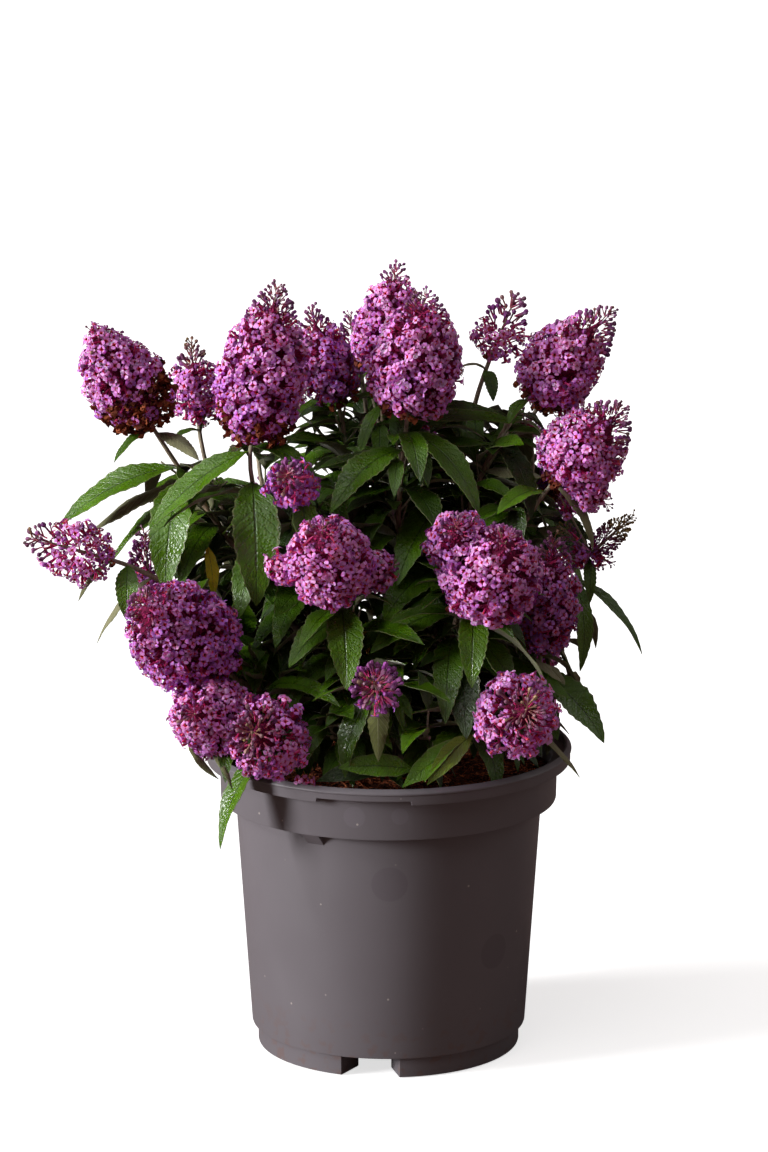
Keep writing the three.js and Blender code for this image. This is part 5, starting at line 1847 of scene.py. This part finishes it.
class BUSH_OT_blooms(bpy.types.Operator):
    """Dress each flower spike with open florets, closed buds and withered florets"""

    bl_idname = "bush.blooms"
    bl_label = "Flower spikes"

    def execute(self, context):
        blooms = context.scene.bush_blooms
        self.open, self.closed, self.spent = [], [], []
        for index, (line, shoot) in enumerate(the_growth().spikes):
            self.dress(blooms, Spike(line, shoot), Draws(BLOOM_SEED + 50 * index))
        self.build_cores(blooms)
        for spot, bearing, rise in FALLEN_FLORETS:
            facing = heading(bearing, rise)
            self.open.append((np.array(spot), facing, bearing, FALLEN_WIDTH, FALLEN_LOOK))
        floret, bud, rag = unit_floret(), unit_bud(), unit_withered()
        maps = np.stack([np.hypot(*floret["co"].T[:2]) * 2, -floret["co"][:, 2]], 1)
        self.build("florets", floret, maps, self.open, ("glow", "age"), petal_finish(blooms))
        maps = bud["co"][:, [0, 2]]
        self.build("buds", bud, maps, self.closed, ("glow", "hue"), bud_finish(blooms))
        maps = rag["co"][:, [0, 2]]
        self.build("withered_florets", rag, maps, self.spent, ("glow",), withered_finish(blooms))
        return {"FINISHED"}

    def dress(self, blooms, spike, draw):
        """Strews a spike's florets over two layers, closely where it is wide."""
        shares = np.linspace(0, 1, SHAPE_SAMPLES)
        weights = spike_shape(shares)
        swept = np.concatenate([[0], np.cumsum((weights[1:] + weights[:-1]) / 2)])
        swept /= SHAPE_SAMPLES - 1
        area = swept[-1] * math.pi * spike.width * spike.length
        swept /= swept[-1]
        cymes = self.cymes(blooms, area, swept, shares, draw)
        for layer, (depth, density) in enumerate(LAYERS):
            count = int(area / blooms.floret_area * spike.look["cover"] * density)
            for i in range(count):
                share = float(np.interp((i + 0.5) / count, swept, shares))
                share = min(max(share + draw(-0.015, 0.015), 0), 1)
                turn = GOLDEN_TURN * i + draw(-14, 14) + 70 * layer
                off, lift = self.in_cyme(blooms, cymes, spike, share, turn)
                self.set_floret(blooms, spike, draw, share, turn, off, depth - lift, layer)

    def set_floret(self, blooms, spike, draw, share, turn, off, depth, layer):
        """An open floret, a closed bud or two withered florets at a place on a spike."""
        along, look = spike.along, spike.look
        radial = turned_off(spike.sides, math.radians(turn))
        normal = unit(radial - along * spike.slope(share) * spike.width / 2 / spike.length)
        splay = along * off[0] + np.cross(along, radial) * off[1]
        facing = unit(normal + along * 0.15 + splay * 0.12 + self.stray(draw, 0.36))
        sink = depth + draw(-0.35, 1.0) * look["flare"]
        spot = spike.axis(share) + radial * max(spike.radius(share) - sink, 0.3)
        kind = draw()
        if share < look["spent_to"] + draw(-0.05, 0.05) and kind < 0.72:
            for _ in range(2):
                way = unit(facing + self.stray(draw, 0.6))
                rag = spot - way * draw(1.5, 4) + self.stray(draw, 1.2)
                self.spent.append((rag, way, draw(0, 6.28), draw(4.4, 6.2), (draw(),)))
        elif share > look["buds_from"] + draw(-0.07, 0.07) or kind < 0.05 + 0.3 * layer:
            self.add_bud(blooms, spike, draw, share, radial)
        else:
            scale = blooms.floret_width / MM * draw(0.8, 1.12)
            # The inner layer is painted darker, as painted shade deep in the spike; the draw gives
            # each floret its own tone.
            glow = look["glow"] + draw(-0.3, 0.3) - 0.3 * layer
            age = look["age"] + 0.4 * (0.5 - share) + draw(-0.4, 0.4)
            values = (min(max(glow, 0), 1), min(max(age, 0), 1))
            self.open.append((spot, facing, draw(0, 6.28), scale, values))

    def stray(self, draw, most):
        return np.array([draw(-most, most) for _ in range(3)])

    def cymes(self, blooms, area, swept, shares, draw):
        """The clusters' shares up the spike, their turns and how far each stands out."""
        count = max(6, int(area / blooms.cyme_area))
        steps = np.arange(count)
        height = np.interp((steps + 0.5) / count, swept, shares)
        stands = np.array([draw(-1.4, 1.6) for _ in steps])
        return height, GOLDEN_TURN * steps + 31, stands

    def in_cyme(self, blooms, cymes, spike, share, turn):
        """How far up and round from the nearest cluster's middle a floret is, and its lift."""
        height, turns, stands = cymes
        rise = (share - height) * spike.length
        round_off = np.radians((turn - turns + 180) % 360 - 180) * spike.radius(share)
        away = np.hypot(rise, round_off)
        near = int(np.argmin(away))
        reach = math.sqrt(blooms.cyme_area / math.pi)
        edge = min(away[near] / reach, 1.3)
        lift = blooms.cyme_bulge / MM * (0.5 - edge**2) + stands[near]
        return (rise[near], round_off[near]), lift

    def add_bud(self, blooms, spike, draw, share, radial):
        """A closed floret that stands out and up from the spike, greener towards its tip."""
        way = radial * draw(0.5, 1.1) + spike.along * draw(0.35, 1.1)
        way = unit(way + heading(draw(0, 360), 0) * 0.25)
        long = blooms.bud_length / MM * draw(0.75, 1.3) * min(1, spike.width / 30)
        long *= (0.85 + 0.07 * spike.look["flare"]) * min(1, 1.7 - share)
        spot = spike.axis(share) + radial * max(spike.radius(share) - long * 0.8, 0.2)
        hue = spike.look["hue"] * 2.2 * share**4 + draw(-0.15, 0.15) + 0.4 * (draw() < 0.1)
        spin, glow = draw(0, 6.28), draw(0.1, 0.8)
        self.closed.append((spot, way, spin, long, (glow, min(max(hue, 0), 1))))

    def build_cores(self, blooms):
        """The crowded tubes and stalks that close each spike from inside."""
        tube = unit_tube(CORE_ROWS, 12)
        up = lerp(0.04, 0.9, np.linspace(0, 1, CORE_ROWS + 1))
        lines, radii = [], []
        for line, shoot in the_growth().spikes:
            spike = Spike(line, shoot)
            lines.append(spike.base + spike.along * (spike.length * up)[:, None])
            slim = 1 - 0.5 * np.clip((up - spike.look["buds_from"] + 0.12) / 0.2, 0, 1)
            full = spike.width / 2 * spike_shape(up) * slim
            core = np.maximum(full * 0.9 - blooms.core_depth / MM, 0.5)
            radii.append(core * spike.look["core"])
        places = bend_tubes(tube, np.array(lines), np.array(radii))
        for line, copy in zip(lines, places):
            for row, spot in zip(rows_of(tube, CORE_ROWS), copy):
                spot += (spot - line[row]) * 0.45 * noise.noise(Vector(spot) * 0.16)
        set_piece("spike_cores", "foliage", tube, places, [core_finish(blooms)], smooth=80)

    def build(self, name, template, maps, items, keys, finish):
        for i, part in enumerate(in_shares(template, len(items))):
            spots, facings, spins, scales, values = zip(*items[part])
            scales = np.repeat(np.array(scales)[:, None], 3, axis=1)
            places = set_copies(template, *map(np.array, (spots, facings, spins)), scales)
            values = dict(zip(keys, np.array(values).T))
            part_name = f"{name}_{i + 1}"
            set_piece(part_name, "foliage", template, places, [finish], maps, (), 50, **values)


FLOOR_WIDTH = 60
FLOOR_DROP = 0.0005  # so that it doesn't meet the foot's underside
SENSOR_WIDTH = 36
KEY_SPREAD = 18
# Each lamp's bearing, its height above the horizon and how wide it looks, in degrees.
LAMPS = [("top", -50, 58, 60), ("glint", -75, 38, 4), ("edge", 100, 25, 50)]


class BUSH_OT_stage(bpy.types.Operator):
    """Lay the pale floor and set the lights and the camera"""

    bl_idname = "bush.stage"
    bl_label = "Stage"

    def execute(self, context):
        stage = context.scene.bush_stage
        put_down()
        bpy.ops.mesh.primitive_plane_add(size=FLOOR_WIDTH, location=(0, 0, -FLOOR_DROP))
        floor = context.object
        floor.name = "floor"
        floor.data.materials.append(self.floor_finish(stage))
        floor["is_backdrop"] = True

        self.sun("key", stage.key_bearing, stage.key_rise, stage.key, KEY_SPREAD)
        for name, bearing, rise, spread in LAMPS:
            bearing, rise = math.radians(bearing), math.radians(rise)
            self.sun(name, bearing, rise, getattr(stage, name), spread)
        world = bpy.data.worlds.new("Studio")
        world.use_nodes = True
        background = world.node_tree.nodes["Background"]
        background.inputs["Color"].default_value = (*stage.warmth, 1)
        background.inputs["Strength"].default_value = stage.sky
        context.scene.world = world
        context.scene.view_settings.view_transform = "Standard"

        camera = bpy.data.objects.new("camera", bpy.data.cameras.new("camera"))
        context.scene.collection.objects.link(camera)
        camera.location = (0, -stage.camera_distance, stage.camera_height)
        camera.rotation_euler = (math.pi / 2 - stage.pitch, 0, stage.yaw)
        camera.data.lens = stage.lens
        camera.data.sensor_width = SENSOR_WIDTH
        context.scene.camera = camera
        return {"FINISHED"}

    def floor_finish(self, stage):
        """White where the camera sees it, and duller in what it casts on the pot."""
        finish = Finish("Floor", Roughness=0.9, Specular_IOR_Level=0.0)
        tree = finish.tree
        seen = put(tree, "LightPath").outputs["Is Camera Ray"]
        finish.feed(Base_Color=blend(tree, seen, stage.floor_shade, stage.floor))
        finish.shader.inputs["Emission Color"].default_value = (1, 1, 1, 1)
        finish.feed(Emission_Strength=times(tree, seen, stage.floor_glow))
        return finish.material

    def sun(self, name, bearing, rise, strength, spread):
        light = bpy.data.lights.new(name, "SUN")
        light.energy = strength
        light.angle = math.radians(spread)
        lamp = bpy.data.objects.new(name, light)
        lamp.rotation_euler = (math.pi / 2 - rise, 0, bearing)
        bpy.context.scene.collection.objects.link(lamp)


def the_growth():
    """The plant's growth, worked out once."""
    if "plant" not in GROWN:
        GROWN["plant"] = Growth(bpy.context.scene.bush_leaves.side_twigs)
    return GROWN["plant"]


GROWN = {}

OPERATORS = [
    BUSH_OT_stage,
    BUSH_OT_pot,
    BUSH_OT_substrate,
    BUSH_OT_limbs,
    BUSH_OT_shoots,
    BUSH_OT_leaves,
    BUSH_OT_blooms,
]


class BUSH_PT_panel(bpy.types.Panel):
    """The pieces of the bush and what they are made to"""

    bl_idname = "BUSH_PT_panel"
    bl_label = "Butterfly bush"
    bl_space_type = "VIEW_3D"
    bl_region_type = "UI"
    bl_category = "Bush"

    def draw(self, context):
        for operator in OPERATORS:
            self.layout.operator(operator.bl_idname)
        for key, group in GROUPS.items():
            box = self.layout.box()
            box.label(text=key.replace("_", " ").capitalize())
            for name in group.__annotations__:
                box.prop(getattr(context.scene, key), name)


CLASSES = [*GROUPS.values(), *OPERATORS, BUSH_PT_panel]


def register():
    for made in CLASSES:
        bpy.utils.register_class(made)
    for key, group in GROUPS.items():
        setattr(bpy.types.Scene, key, PointerProperty(type=group))


def unregister():
    for key in GROUPS:
        delattr(bpy.types.Scene, key)
    for made in reversed(CLASSES):
        bpy.utils.unregister_class(made)


def main():
    register()
    for operator in OPERATORS:
        group, name = operator.bl_idname.split(".")
        getattr(getattr(bpy.ops, group), name)()
    boxes = {"cad": cad_box, "visual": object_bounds()}
    {key: [list(corner) for corner in box] for key, box in boxes.items()}


if __name__ == "__main__":
    main()
